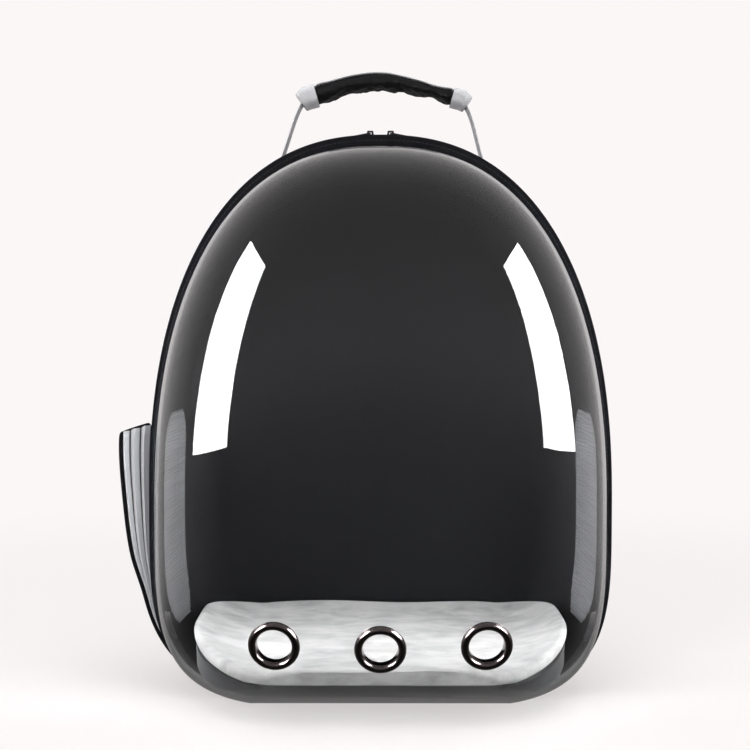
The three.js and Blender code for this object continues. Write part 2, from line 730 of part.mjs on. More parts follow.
// Cuts a solid back to the shell's outer face, which it then just clears.
function seatedOnShell(body) {
  return surface(mainBody(body.subtract(shellLayer(-SHELL_WALL, CLEARANCE))));
}

// One pleated gusset, from its seam on the shell to the edging of the panel.
function pocketGusset(depth, inward) {
  const folds = 2 * PLEATS;
  const grid = (shift) => POCKET_PROFILE.map((row) =>
    Array.from({ length: folds + 1 }, (_, i) => {
      const share = i / folds;
      const reach = row.bulge * POCKET_BULGE - EDGING - 2 * CLEARANCE;
      const outside = lerp(-SHELL_WALL / 2, reach, share);
      const z = POCKET_BOTTOM + row.height * (POCKET_HEIGHT - POCKET_TOP_SLANT * share);
      const fold = i % 2 ? PLEAT_DEPTH * row.bulge : 0;
      return pocketPoint(depth + inward * (fold + shift), z, outside);
    }),
  );
  return seatedOnShell(solid(sheet(grid(0), grid(GUSSET_THICKNESS))));
}

// A slab of the pocket's outer side, drawn in at its edges, between two distances from its outer face.
function pocketSlab(margin, inner, outer, crown) {
  const height = POCKET_HEIGHT - POCKET_TOP_SLANT;
  const grid = (level) => POCKET_PROFILE.map((row) =>
    Array.from({ length: PANEL_COLUMNS + 1 }, (_, i) => {
      const share = i / PANEL_COLUMNS;
      const depth = lerp(POCKET_SETBACK + margin, POCKET_BACK - margin, share);
      const z = POCKET_BOTTOM + lerp(margin, height - margin, row.height);
      const swell = crown * row.bulge * Math.sin(Math.PI * share);
      return pocketPoint(depth, z, row.bulge * POCKET_BULGE + level + swell);
    }),
  );
  return sheet(grid(inner), grid(outer));
}

function pocketEdging() {
  const around = solid(pocketSlab(0, -EDGING, 0, 0));
  return seatedOnShell(around.subtract(solid(pocketSlab(EDGING, -2 * EDGING, EDGING, 0))));
}

function pocketPanel() {
  const recess = (EDGING - PANEL_THICKNESS) / 2;
  return seatedOnShell(solid(pocketSlab(EDGING + CLEARANCE, recess - EDGING, -recess, PANEL_CROWN)));
}

// A flat ribbon along a path, its width along one direction and its thickness square to both.
function ribbon(path, across, width, thickness) {
  const rings = path.map((p, i) => {
    const before = path[Math.max(i - 1, 0)];
    const after = path[Math.min(i + 1, path.length - 1)];
    const normal = after.clone().sub(before).cross(across).normalize();
    const half = across.clone().multiplyScalar(width / 2);
    const up = normal.multiplyScalar(thickness / 2);
    return [[1, 1], [-1, 1], [-1, -1], [1, -1]].map(([w, t]) =>
      p.clone().addScaledVector(half, w).addScaledVector(up, t));
  });
  return capped(rings);
}

const X_WAY = new THREE.Vector3(1, 0, 0);
const Y_WAY = new THREE.Vector3(0, 1, 0);

const handleFootHeight = () => shellCrown(HANDLE_SETBACK, HANDLE_FOOT_SPREAD);

// The grip's top line: its height at a share of the half length.
function gripTop(along) {
  const k = Math.max(0, GRIP_SECTIONS.findIndex((s) => s.along >= along) - 1);
  const [a, b] = [GRIP_SECTIONS[k], GRIP_SECTIONS[k + 1]];
  const share = (along - a.along) / (b.along - a.along);
  return handleFootHeight() + HANDLE_RISE * lerp(a.crest, b.crest, share);
}

function handlePath() {
  const y = RIM_Y + HANDLE_SETBACK;
  const top = (along) => new THREE.Vector3(
    HANDLE_SHIFT + along * HANDLE_HALF_LENGTH,
    y,
    gripTop(along) - STRAP_THICKNESS / 2,
  );
  const end = (side) => {
    const corner = top(side);
    const foot = new THREE.Vector3(side * HANDLE_FOOT_SPREAD, y, handleFootHeight());
    const shoulder = corner.clone().add(new THREE.Vector3(side * CAP_LENGTH, 0, -CAP_DROP));
    return [shoulder, shoulder.clone().lerp(foot, 0.5), foot];
  };
  const shares = GRIP_SECTIONS.map((s) => s.along);
  return new THREE.CatmullRomCurve3([
    ...end(-1).reverse(),
    ...shares.map(top),
    ...end(1),
  ], false, "centripetal").getPoints(HANDLE_STEPS);
}

function handleStrap() {
  const y = RIM_Y + HANDLE_SETBACK;
  let strap = solid(ribbon(handlePath(), Y_WAY, STRAP_WIDTH, STRAP_THICKNESS));
  const layer = shellLayer(CLEARANCE, CLEARANCE + STRAP_THICKNESS);
  for (const side of [-1, 1]) {
    const middle = side * (HANDLE_FOOT_SPREAD + HANDLE_FOOT_LENGTH / 2 - STRAP_THICKNESS);
    strap = strap.add(layer.intersect(
      box(HANDLE_FOOT_LENGTH, STRAP_WIDTH, HANDLE_RISE, middle, y, handleFootHeight()),
    ));
  }
  return seatedOnShell(strap);
}

// An upright oval section of the grip or a cap, square to X.
function oval(x, y, top, width, thickness) {
  return Array.from({ length: GRIP_SIDES }, (_, i) => {
    const angle = (2 * Math.PI * (i + 0.5)) / GRIP_SIDES;
    const squarish = (v) => Math.sign(v) * Math.abs(v) ** GRIP_ROUNDNESS;
    return new THREE.Vector3(
      x,
      y + (width / 2) * squarish(Math.cos(angle)),
      top - thickness / 2 + (thickness / 2) * squarish(Math.sin(angle)),
    );
  });
}

// The space that the handle's strap takes in the grip and in the caps.
function strapSlot() {
  const width = STRAP_WIDTH + 2 * CLEARANCE;
  return solid(ribbon(handlePath(), Y_WAY, width, STRAP_THICKNESS + 2 * CLEARANCE));
}

function handleGrip() {
  const y = RIM_Y + HANDLE_SETBACK;
  const grip = solid(capped(GRIP_SECTIONS.map((s) => oval(
    HANDLE_SHIFT + s.along * HANDLE_HALF_LENGTH,
    y,
    gripTop(s.along) - STRAP_THICKNESS - CLEARANCE,
    GRIP_WIDTH,
    GRIP_THICKNESS * s.body,
  ))));
  return surface(mainBody(grip.subtract(strapSlot())));
}

function handleCap(side) {
  const y = RIM_Y + HANDLE_SETBACK;
  const start = HANDLE_SHIFT + side * (HANDLE_HALF_LENGTH + CLEARANCE);
  const top = gripTop(side) + CAP_OVERHANG;
  const end = GRIP_SECTIONS.at(side < 0 ? 0 : -1);
  const height = GRIP_THICKNESS * end.body + STRAP_THICKNESS + CLEARANCE + 2 * CAP_OVERHANG;
  const width = GRIP_WIDTH + 2 * CAP_OVERHANG;
  const cap = solid(capped(CAP_SECTIONS.map((s) => oval(
    start + side * s.along * CAP_LENGTH,
    y,
    top - s.drop * CAP_DROP,
    s.width * width,
    s.height * height,
  ))));
  return surface(mainBody(cap.subtract(strapSlot())));
}

// The zip closed at the crown: sliders nose to nose, with their pulls lying outward.
const ZIP_MIDDLE_Y = RIM_Y + ZIP_DEPTH / 2;
const SLIDER_BASE = OUTLINE_HEIGHT - ZIP_COIL_INSET + CLEARANCE;
const PIVOT_Z = SLIDER_BASE + SLIDER_HEIGHT + PIVOT_HEIGHT;

function slider(side) {
  const pivot = side * SLIDER_OFFSET;
  const middle = pivot + side * (SLIDER_NOSE - SLIDER_LENGTH / 2);
  const plate = box(SLIDER_LENGTH, SLIDER_WIDTH, SLIDER_HEIGHT, middle, ZIP_MIDDLE_Y,
    SLIDER_BASE + SLIDER_HEIGHT / 2);
  const eye = Math.hypot(PIVOT_RADIUS, PULL_THICKNESS / 2) + CLEARANCE;
  const top = PIVOT_Z + eye + BRIDGE_BAR;
  const arch = new THREE.Shape();
  const half = BRIDGE_SPAN / 2;
  const foot = SLIDER_BASE + SLIDER_HEIGHT - BRIDGE_BAR / 2;
  arch.moveTo(-half, foot);
  arch.lineTo(half, foot);
  arch.lineTo(half * BRIDGE_TAPER, top);
  arch.lineTo(-half * BRIDGE_TAPER, top);
  arch.closePath();
  const hole = new THREE.Path();
  hole.absarc(0, PIVOT_Z, eye, 0, Math.PI * 2);
  arch.holes.push(hole);
  const bridge = new THREE.ExtrudeGeometry(arch, {
    depth: BRIDGE_WIDTH,
    bevelEnabled: false,
    curveSegments: BRIDGE_EYE_STEPS,
  });
  bridge.rotateX(Math.PI / 2);
  bridge.translate(pivot, ZIP_MIDDLE_Y + BRIDGE_WIDTH / 2, 0);
  return surface(plate.add(solid(indexed(bridge))));
}

// A pull tab: a slotted plate whose pin lies in the bridge's eye.
function pull(side) {
  const eye = BRIDGE_WIDTH + 2 * CLEARANCE;
  const reach = 2 * BRIDGE_SPAN;
  let plate = box(PULL_LENGTH, PULL_WIDTH, PULL_THICKNESS, PULL_LENGTH / 2 - PIVOT_RADIUS, 0, 0);
  plate = plate.subtract(box(reach, eye, 2 * PULL_THICKNESS, PIVOT_RADIUS + reach / 2, 0, 0));
  plate = plate.subtract(box(GRIP_SLOT_LENGTH, GRIP_SLOT_WIDTH, 2 * PULL_THICKNESS, GRIP_SLOT_PLACE, 0, 0));
  const geometry = surface(plate);
  if (side < 0) geometry.rotateZ(Math.PI);
  geometry.rotateY(side * radians(PULL_REST_DEG));
  geometry.translate(side * SLIDER_OFFSET, ZIP_MIDDLE_Y, PIVOT_Z);
  return geometry;
}

// The back: everything here is built up from the shell's flat back face.
const BACK_FACE_Y = RIM_Y + SHELL_DEPTH;
const PAD_FACE_Y = BACK_FACE_Y + CLEARANCE + PAD_THICKNESS;
const PAD_INSET = BACK_ROUNDING + PAD_MARGIN;
const PAD_TOP = OUTLINE_HEIGHT - SHELL_SET_IN - CROWN_DRAFT - PAD_INSET;
const YOKE_BOTTOM = PAD_TOP - YOKE_DROP - YOKE_HEIGHT;

function backPad() {
  const edge = (y, more) => ring(
    y,
    SHELL_SET_IN + SIDE_DRAFT + PAD_INSET + more,
    SHELL_SET_IN + CROWN_DRAFT + PAD_INSET + more,
    PAD_INSET + more,
  );
  const middle = (y) => new THREE.Vector3(0, y, BUBBLE_FOCUS);
  const back = BACK_FACE_Y + CLEARANCE;
  return skin([
    middle(back),
    ...PAD_SECTIONS.map((s) => edge(back + s.out * PAD_THICKNESS, s.drawn * PAD_ROUNDING)),
    middle(PAD_FACE_Y),
  ]);
}

function strapYoke() {
  return surface(box(
    YOKE_WIDTH,
    YOKE_THICKNESS,
    YOKE_HEIGHT,
    0,
    PAD_FACE_Y + CLEARANCE + YOKE_THICKNESS / 2,
    YOKE_BOTTOM + YOKE_HEIGHT / 2,
  ));
}

// The middle of a shoulder strap's section.
function shoulderMiddle(side, row) {
  return new THREE.Vector3(
    side * (SHOULDER_TOP_SPREAD + row.out * SHOULDER_SPLAY),
    PAD_FACE_Y + CLEARANCE + (SHOULDER_THICKNESS * row.body) / 2 + row.bow * SHOULDER_BOW,
    YOKE_BOTTOM - CLEARANCE - row.down * SHOULDER_LENGTH,
  );
}

function shoulderStrap(side) {
  return capped(SHOULDER_SECTIONS.map((row) => {
    const middle = shoulderMiddle(side, row);
    const squarish = (v) => Math.sign(v) * Math.abs(v) ** SHOULDER_ROUNDNESS;
    return Array.from({ length: SHOULDER_SIDES }, (_, i) => {
      const angle = (2 * Math.PI * (i + 0.5)) / SHOULDER_SIDES;
      return new THREE.Vector3(
        middle.x + ((SHOULDER_WIDTH * row.width) / 2) * squarish(Math.cos(angle)),
        middle.y + ((SHOULDER_THICKNESS * row.body) / 2) * squarish(Math.sin(angle)),
        middle.z,
      );
    });
  }));
}

// The middle of the buckle under a shoulder strap.
function buckleMiddle(side) {
  const end = shoulderMiddle(side, SHOULDER_SECTIONS.at(-1));
  return end.add(new THREE.Vector3(0, 0, -CLEARANCE - BUCKLE_HEIGHT / 2));
}

function strapBuckle(side) {
  const at = buckleMiddle(side);
  const slot = (BUCKLE_HEIGHT - 3 * BUCKLE_BAR) / 2;
  let frame = box(BUCKLE_WIDTH, BUCKLE_THICKNESS, BUCKLE_HEIGHT, at.x, at.y, at.z);
  for (const way of [-1, 1]) {
    const z = at.z + (way * (slot + BUCKLE_BAR)) / 2;
    frame = frame.subtract(box(BUCKLE_WIDTH - 2 * BUCKLE_BAR, 2 * BUCKLE_THICKNESS, slot, at.x, at.y, z));
  }
  return surface(frame);
}

// The webbing from its foot on the pad, up round the buckle's lowest bar and down again as a free tail.
function adjusterWeb(side) {
  const at = buckleMiddle(side);
  const barTop = at.z - BUCKLE_HEIGHT / 2 + BUCKLE_BAR;
  const radius = BUCKLE_THICKNESS / 2 + CLEARANCE + WEB_THICKNESS / 2 + LOOP_EASE;
  const turnZ = barTop - BUCKLE_BAR / 2 + LOOP_EASE;
  const onPad = PAD_FACE_Y + CLEARANCE + WEB_THICKNESS / 2;
  const footX = side * FOOT_SPREAD;
  const turn = Array.from({ length: WEB_TURN_STEPS + 1 }, (_, i) => {
    const angle = Math.PI * (1 - i / WEB_TURN_STEPS);
    return new THREE.Vector3(at.x, at.y + radius * Math.cos(angle), turnZ + radius * Math.sin(angle));
  });
  const footTop = FOOT_HEIGHT_ABOVE + FOOT_HEIGHT / 2;
  const climb = WEB_CLIMB.map((s) => new THREE.Vector3(
    lerp(footX, at.x, s.across),
    lerp(onPad, at.y - radius, s.off),
    lerp(footTop, turnZ, s.up),
  ));
  return ribbon([
    new THREE.Vector3(footX, onPad, footTop - FOOT_HEIGHT + WEB_END_SET_IN),
    new THREE.Vector3(footX, onPad, footTop),
    ...climb,
    ...turn,
    new THREE.Vector3(at.x, at.y + radius + LOOP_EASE, turnZ - WEB_TAIL / 2),
    new THREE.Vector3(at.x, at.y + radius - LOOP_EASE, turnZ - WEB_TAIL),
  ], X_WAY, WEB_WIDTH, WEB_THICKNESS);
}

// The stitched patch that holds the webbing's lower end against the pad.
function strapFoot(side) {
  const depth = FOOT_THICKNESS + CLEARANCE + WEB_THICKNESS;
  const x = side * FOOT_SPREAD;
  const y = PAD_FACE_Y + CLEARANCE + depth / 2;
  const patch = box(FOOT_WIDTH, depth, FOOT_HEIGHT, x, y, FOOT_HEIGHT_ABOVE);
  const channel = WEB_THICKNESS + CLEARANCE;
  return surface(patch.subtract(box(
    WEB_WIDTH + 2 * CLEARANCE,
    2 * channel,
    FOOT_HEIGHT,
    x,
    PAD_FACE_Y + CLEARANCE,
    FOOT_HEIGHT_ABOVE + WEB_END_SET_IN - CLEARANCE,
  )));
}

const model = new THREE.Group();

function add(name, geometry, finish) {
  const mesh = new THREE.Mesh(geometry, new THREE.MeshStandardMaterial(FINISH[finish]));
  mesh.name = name;
  model.add(mesh);
}

function pipingSection() {
  const start = ZIP_DEPTH + CLEARANCE / 2;
  const end = start + PIPING_DEPTH - CLEARANCE / 2;
  const round = PIPING_DEPTH / 4;
  return [
    [PIPING_WIDTH, start],
    [round, start],
    [0, start + round],
    [0, end - round],
    [round, end],
    [PIPING_WIDTH, end],
  ];
}

function tapeSection() {
  const edge = CLEARANCE / 2;
  return [
    [ZIP_TAPE_INSET, edge],
    [ZIP_TAPE_INSET, ZIP_DEPTH - edge],
    [ZIP_TAPE_INSET + ZIP_TAPE_THICKNESS, ZIP_DEPTH - edge],
    [ZIP_TAPE_INSET + ZIP_TAPE_THICKNESS, edge],
  ];
}

function coilSection() {
  const low = (ZIP_DEPTH - ZIP_COIL_WIDTH) / 2;
  const high = (ZIP_DEPTH + ZIP_COIL_WIDTH) / 2;
  const under = ZIP_TAPE_INSET - CLEARANCE;
  return [[ZIP_COIL_INSET, low], [ZIP_COIL_INSET, high], [under, high], [under, low]];
}

// A channel that wraps the bubble's flange. Its section holds shares of its width and depths.
function bindingRing() {
  const back = -CLEARANCE / 2;
  const front = back - BINDING_DEPTH;
  const middle = (back + front) / 2;
  const half = FLANGE_THICKNESS / 2 + CLEARANCE;
  const bottom = 1 - FLANGE_SHARE;
  const section = [
    [0, front],
    [0, back],
    [1, back],
    [1, middle + half],
    [bottom, middle + half],
    [bottom, middle - half],
    [1, middle - half],
    [1, front],
  ];
  return skin(section.map(([share, depth]) => ring(RIM_Y + depth, ...acrossBinding(share))), true);
}

add("shell", shell(), "shell");
add("shell_piping", rimRing(pipingSection()), "trim");
add("zip_tape", rimRing(tapeSection()), "trim");
add("zip_coil", rimRing(coilSection()), "plastic");
add("bubble_binding", bindingRing(), "trim");
add("bubble", bubble(), "clear");
add("floor_board", floorBoard(), "board");
add("floor_mat", floorMat(), "mat");
add("vent_eyelet_middle", ventRing(0), "gunmetal");
add("pocket_gusset_front", pocketGusset(POCKET_SETBACK, 1), "silver");
add("pocket_gusset_back", pocketGusset(POCKET_BACK, -1), "silver");
add("pocket_edging", pocketEdging(), "trim");
add("pocket_panel", pocketPanel(), "shell");
add("handle_strap", handleStrap(), "silver");
add("handle_grip", handleGrip(), "shell");
add("back_pad", backPad(), "shell");
add("strap_yoke", strapYoke(), "webbing");
for (const [name, side] of [["left", -1], ["right", 1]]) {
  add(`vent_eyelet_${name}`, ventRing(side), "gunmetal");
  add(`window_mesh_${name}`, windowMesh(side), "mesh");
  add(`window_trim_${name}`, windowTrim(side), "trim");
  add(`handle_cap_${name}`, handleCap(side), "silver");
  add(`zip_slider_${name}`, slider(side), "plastic");
  add(`zip_pull_${name}`, pull(side), "plastic");
  add(`shoulder_strap_${name}`, shoulderStrap(side), "shell");
  add(`strap_buckle_${name}`, strapBuckle(side), "plastic");
  add(`adjuster_web_${name}`, adjusterWeb(side), "webbing");
  add(`strap_foot_${name}`, strapFoot(side), "webbing");
}

export default model;
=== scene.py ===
# %% [markdown]
# # A bubble pet carrier backpack
# The carrier is a hard fabric shell with a clear blown bubble zipped to its front. Its solids come from
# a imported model, in metres, with the bubble towards -Y and the wearer's back towards +Y. This lesson
# dresses them: smooth surfaces take the place of the coarse solids, and every finish is procedural.

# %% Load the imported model
import json
import math
import bmesh
import bpy
import numpy as np
from mathutils import Matrix, Vector

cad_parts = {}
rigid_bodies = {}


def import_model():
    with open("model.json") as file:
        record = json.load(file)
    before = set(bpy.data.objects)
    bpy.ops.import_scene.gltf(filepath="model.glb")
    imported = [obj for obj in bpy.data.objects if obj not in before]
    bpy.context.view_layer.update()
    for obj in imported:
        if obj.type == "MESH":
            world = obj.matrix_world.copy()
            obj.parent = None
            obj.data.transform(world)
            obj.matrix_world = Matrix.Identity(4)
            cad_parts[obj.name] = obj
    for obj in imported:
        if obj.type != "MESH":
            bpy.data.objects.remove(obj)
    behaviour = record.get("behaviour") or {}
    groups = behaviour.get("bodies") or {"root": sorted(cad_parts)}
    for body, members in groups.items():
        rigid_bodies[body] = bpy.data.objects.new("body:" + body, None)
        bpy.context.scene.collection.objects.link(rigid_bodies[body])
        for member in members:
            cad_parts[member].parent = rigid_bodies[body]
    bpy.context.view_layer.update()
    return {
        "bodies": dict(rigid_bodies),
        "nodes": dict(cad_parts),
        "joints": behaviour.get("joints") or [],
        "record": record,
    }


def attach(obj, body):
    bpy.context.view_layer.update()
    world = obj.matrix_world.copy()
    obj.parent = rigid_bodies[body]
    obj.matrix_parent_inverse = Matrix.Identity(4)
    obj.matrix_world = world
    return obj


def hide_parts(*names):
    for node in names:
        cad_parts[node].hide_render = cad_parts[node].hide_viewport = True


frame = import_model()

CARRIER = "carrier"
SIDES = (("left", -1), ("right", 1))  # each side, and its direction along X

# %% [markdown]
# ## Where the camera stands
# The photograph was taken from about 1.3 m, a little above the middle of the bag, with a long lens that
# looks down by two or three degrees. The camera is made first so that every later choice can be checked
# against the picture.

# %% Make the camera
CAMERA_PLACE = Vector((0.0, -1.307, 0.290))
CAMERA_DROP = math.radians(2.49)  # how far it looks down
CAMERA_TURN = math.radians(0.18)
FOCAL_PIXELS = 1723.6
PICTURE_SIDE = 750


def make_camera():
    bpy.ops.object.camera_add(location=CAMERA_PLACE)
    camera = bpy.context.active_object
    camera.name = "camera"
    camera.rotation_euler = (math.pi / 2 - CAMERA_DROP, 0, CAMERA_TURN)
    camera.data.sensor_width = 36
    camera.data.lens = FOCAL_PIXELS / PICTURE_SIDE * camera.data.sensor_width
    camera.data.clip_start = 0.05
    bpy.context.scene.camera = camera
    return camera


camera = make_camera()
print("lens:", round(camera.data.lens, 1), "mm")

# %% [markdown]
# ## The outline that everything follows
# Seen from the front, the bag is an egg with a flat base. Two superellipses that meet at the widest
# height give that curve from five numbers. Every ring of the shell, rim and bubble is this curve drawn
# in or out, so they stay parallel to each other as the sewn pieces do.

# %% Outline helpers
HALF_WIDTH = 0.169
CROWN_HEIGHT = 0.410
WIDEST_HEIGHT = 0.140
CROWN_POWER = 2.35
BASE_POWER = 3.9
BASE_CUT = 0.004
RIM_Y = -0.060


def outline(count):
    """Points round the outline, evenly spaced from the base's middle, and their outward directions."""
    angle = np.linspace(-np.pi / 2, 1.5 * np.pi, 8 * count + 1)
    up = np.sin(angle) >= 0
    power = np.where(up, CROWN_POWER, BASE_POWER)
    height = np.where(up, CROWN_HEIGHT - WIDEST_HEIGHT, WIDEST_HEIGHT + BASE_CUT)
    terms = (np.abs(np.cos(angle)) / HALF_WIDTH) ** power + (np.abs(np.sin(angle)) / height) ** power
    reach = terms ** (-1 / power)
    x = reach * np.cos(angle)
    z = WIDEST_HEIGHT + reach * np.sin(angle)
    length = np.concatenate([[0], np.cumsum(np.hypot(np.diff(x), np.diff(z)))])
    even = np.linspace(0, length[-1], count + 1)
    points = np.stack([np.interp(even, length, x), np.interp(even, length, z)], 1)
    ahead = np.roll(points[:-1], -1, 0) - np.roll(points[:-1], 1, 0)
    normals = np.stack([ahead[:, 1], -ahead[:, 0]], 1)
    normals /= np.linalg.norm(normals, axis=1)[:, None]
    return points, np.concatenate([normals, normals[:1]])


def ring(y, side, crown=None, base=None, count=176):
    """The outline drawn in at its sides, crown and base, at one depth. It closes on its first point."""
    crown = side if crown is None else crown
    base = side if base is None else base
    points, normals = outline(count)
    x = points[:, 0] - side * normals[:, 0]
    z = points[:, 1] - np.where(normals[:, 1] > 0, crown, base) * normals[:, 1]
    return np.stack([x, np.full_like(x, y), np.maximum(z, base)], 1)


print("outline points:", len(outline(176)[0]) - 1)

# %% [markdown]
# ## How a surface is made here
# Most pieces are skins stretched over rows of points. A grid primitive has exactly the right faces for
# that, so one is added and each of its rows is moved to its place. Rows that close on themselves or
# shrink to a point are welded afterwards, and the grid's own UV map is rescaled to metres, so that a
# weave keeps its size along the cloth.

# %% Surface helpers
def select_only(*pieces):
    bpy.ops.object.select_all(action="DESELECT")
    for piece in pieces:
        piece.select_set(True)
    bpy.context.view_layer.objects.active = pieces[0]


def spans(rows, axis):
    """Mean distance along rows or across them, as a running length."""
    steps = np.linalg.norm(np.diff(rows, axis=axis), axis=2).mean(axis=1 - axis)
    return np.concatenate([[0], np.cumsum(steps)])


def skin(name, rows, outward=True):
    """A surface through rows of points, each row an array of the same number of points."""
    rows = np.array(rows, dtype=float)
    count_down, count_across = rows.shape[:2]
    bpy.ops.object.select_all(action="DESELECT")
    bpy.ops.mesh.primitive_grid_add(
        x_subdivisions=count_across - 1, y_subdivisions=count_down - 1, size=1, calc_uvs=True
    )
    piece = bpy.context.active_object
    piece.name = name
    mesh = piece.data
    mesh.name = name
    mesh.vertices.foreach_set("co", rows.reshape(-1))
    along, down = spans(rows, 1), spans(rows, 0)
    layer = mesh.uv_layers.active.data
    uv = np.empty(len(layer) * 2)
    layer.foreach_get("uv", uv)
    uv = uv.reshape(-1, 2)
    uv[:, 0] = np.interp(uv[:, 0], np.linspace(0, 1, count_across), along)
    uv[:, 1] = np.interp(uv[:, 1], np.linspace(0, 1, count_down), down)
    layer.foreach_set("uv", uv.reshape(-1))
    bpy.ops.object.mode_set(mode="EDIT")
    bpy.ops.mesh.select_all(action="SELECT")
    bpy.ops.mesh.remove_doubles(threshold=0.00001)
    bpy.ops.mesh.normals_make_consistent(inside=not outward)
    bpy.ops.object.mode_set(mode="OBJECT")
    bpy.ops.object.shade_smooth_by_angle(angle=math.radians(50))
    return piece


def apply_modifier(piece, kind, **settings):
    select_only(piece)
    modifier = piece.modifiers.new(kind.lower(), kind)
    for key, value in settings.items():
        setattr(modifier, key, value)
    bpy.ops.object.modifier_apply(modifier=modifier.name)


def solidify(piece, thickness, offset=-1):
    apply_modifier(piece, "SOLIDIFY", thickness=thickness, offset=offset, use_even_offset=True)


def subdivide(piece, levels=1):
    apply_modifier(piece, "SUBSURF", levels=levels, render_levels=levels)


def give(piece, material, slot, *nodes, body=CARRIER):
    """Finishes a piece: its material, its body and the solids that it stands for. The slot is not used."""
    piece.data.materials.clear()
    piece.data.materials.append(material)
    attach(piece, body)
    if nodes:
        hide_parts(*nodes)
    return piece


# %% [markdown]
# ## Finishes
# Each finish is built from a few shared node groups. `cloth_weave` draws the over and under of a plain
# weave from the UV map, `fine_wear` breaks up a colour with soft patches and tiny flecks, and `pile`
# gives the brushed streaks of the floor mat. The groups put out only colours and heights. The shader
# itself stays in each material.

# %% Node helpers
def socket(tree, name, kind, output=False, value=None):
    made = tree.interface.new_socket(
        name=name, in_out="OUTPUT" if output else "INPUT", socket_type=f"NodeSocket{kind}"
    )
    if value is not None:
        made.default_value = value


def maths(tree, operation, *values, clamp=False):
    node = tree.nodes.new("ShaderNodeMath")
    node.operation = operation
    node.use_clamp = clamp
    for slot_index, value in enumerate(values):
        if isinstance(value, (int, float)):
            node.inputs[slot_index].default_value = value
        else:
            tree.links.new(value, node.inputs[slot_index])
    return node.outputs[0]


def mixed(tree, share, first, second):
    node = tree.nodes.new("ShaderNodeMix")
    node.data_type = "RGBA"
    for key, value in ((0, share), (6, first), (7, second)):
        if isinstance(value, (int, float)):
            node.inputs[key].default_value = value
        elif isinstance(value, tuple):
            node.inputs[key].default_value = (*value, 1)
        else:
            tree.links.new(value, node.inputs[key])
    return node.outputs[2]


def noise(tree, vector, scale, detail=2.0, roughness=0.5):
    node = tree.nodes.new("ShaderNodeTexNoise")
    node.inputs["Scale"].default_value = scale
    node.inputs["Detail"].default_value = detail
    node.inputs["Roughness"].default_value = roughness
    tree.links.new(vector, node.inputs["Vector"])
    return node.outputs["Fac"]


def stretched(tree, vector, scale):
    node = tree.nodes.new("ShaderNodeMapping")
    node.inputs["Scale"].default_value = scale
    tree.links.new(vector, node.inputs["Vector"])
    return node.outputs["Vector"]


def smooth_range(tree, value, start, end, low=0.0, high=1.0):
    """Eases from low to high while a value goes from start to end. Any of them may be a socket."""
    node = tree.nodes.new("ShaderNodeMapRange")
    node.interpolation_type = "SMOOTHSTEP"
    given = {"Value": value, "From Min": start, "From Max": end, "To Min": low, "To Max": high}
    for key, source in given.items():
        if isinstance(source, (int, float)):
            node.inputs[key].default_value = source
        else:
            tree.links.new(source, node.inputs[key])
    return node.outputs[0]


def blended(tree, share, first, second, output):
    """Two shaders mixed by a share, led to the output of a material or a world."""
    node = tree.nodes.new("ShaderNodeMixShader")
    for target, source in zip(node.inputs, (share, first.outputs[0], second.outputs[0])):
        tree.links.new(source, target)
    tree.links.new(node.outputs[0], tree.nodes[output].inputs["Surface"])


def group(name, inputs, outputs):
    tree = bpy.data.node_groups.new(name, "ShaderNodeTree")
    for title, kind, value in inputs:
        socket(tree, title, kind, value=value)
    for title, kind in outputs:
        socket(tree, title, kind, output=True)
    return tree, tree.nodes.new("NodeGroupInput").outputs, tree.nodes.new("NodeGroupOutput").inputs


# %% [markdown]
# Woven cloth shows small hills where a thread lies on top. A cell of the weave is found by rounding the
# UV map down, and its threads by a sine. This costs far less than modelled threads and holds at any size.

# %% The plain weave group
def build_weave():
    tree, given, out = group(
        "cloth_weave",
        [("Vector", "Vector", None), ("Threads per metre", "Float", 1400.0)],
        [("Height", "Float"), ("Warp", "Float")],
    )
    split = tree.nodes.new("ShaderNodeSeparateXYZ")
    tree.links.new(given["Vector"], split.inputs[0])
    across = maths(tree, "MULTIPLY", split.outputs["X"], given["Threads per metre"])
    down = maths(tree, "MULTIPLY", split.outputs["Y"], given["Threads per metre"])
    cell = maths(tree, "ADD", maths(tree, "FLOOR", across), maths(tree, "FLOOR", down))
    over = maths(tree, "ABSOLUTE", maths(tree, "MODULO", cell, 2.0))
    warp = maths(tree, "ABSOLUTE", maths(tree, "SINE", maths(tree, "MULTIPLY", across, math.pi)))
    weft = maths(tree, "ABSOLUTE", maths(tree, "SINE", maths(tree, "MULTIPLY", down, math.pi)))
    under = maths(tree, "SUBTRACT", 1.0, over)
    height = maths(tree, "ADD", maths(tree, "MULTIPLY", warp, over), maths(tree, "MULTIPLY", weft, under))
    tree.links.new(height, out["Height"])
    tree.links.new(over, out["Warp"])
    return tree


# %% [markdown]
# No real surface has one flat tone. Two noises give the wear, a broad one for patches and a fine one for
# flecks. Plush is brushed one way, so its noise is stretched along that way.

# %% The wear and pile groups
def build_wear():
    tree, given, out = group(
        "fine_wear",
        [("Vector", "Vector", None), ("Dark", "Color", (0, 0, 0, 1)), ("Light", "Color", (1, 1, 1, 1)),
         ("Patch", "Float", 0.5)],
        [("Color", "Color"), ("Flecks", "Float")],
    )
    patches = noise(tree, given["Vector"], 14.0, 3.0)
    flecks = noise(tree, given["Vector"], 900.0, 2.0)
    share = maths(tree, "MULTIPLY", patches, given["Patch"])
    share = maths(tree, "ADD", share, maths(tree, "MULTIPLY", flecks, 0.3), clamp=True)
    tree.links.new(mixed(tree, share, given["Dark"], given["Light"]), out["Color"])
    tree.links.new(flecks, out["Flecks"])
    return tree


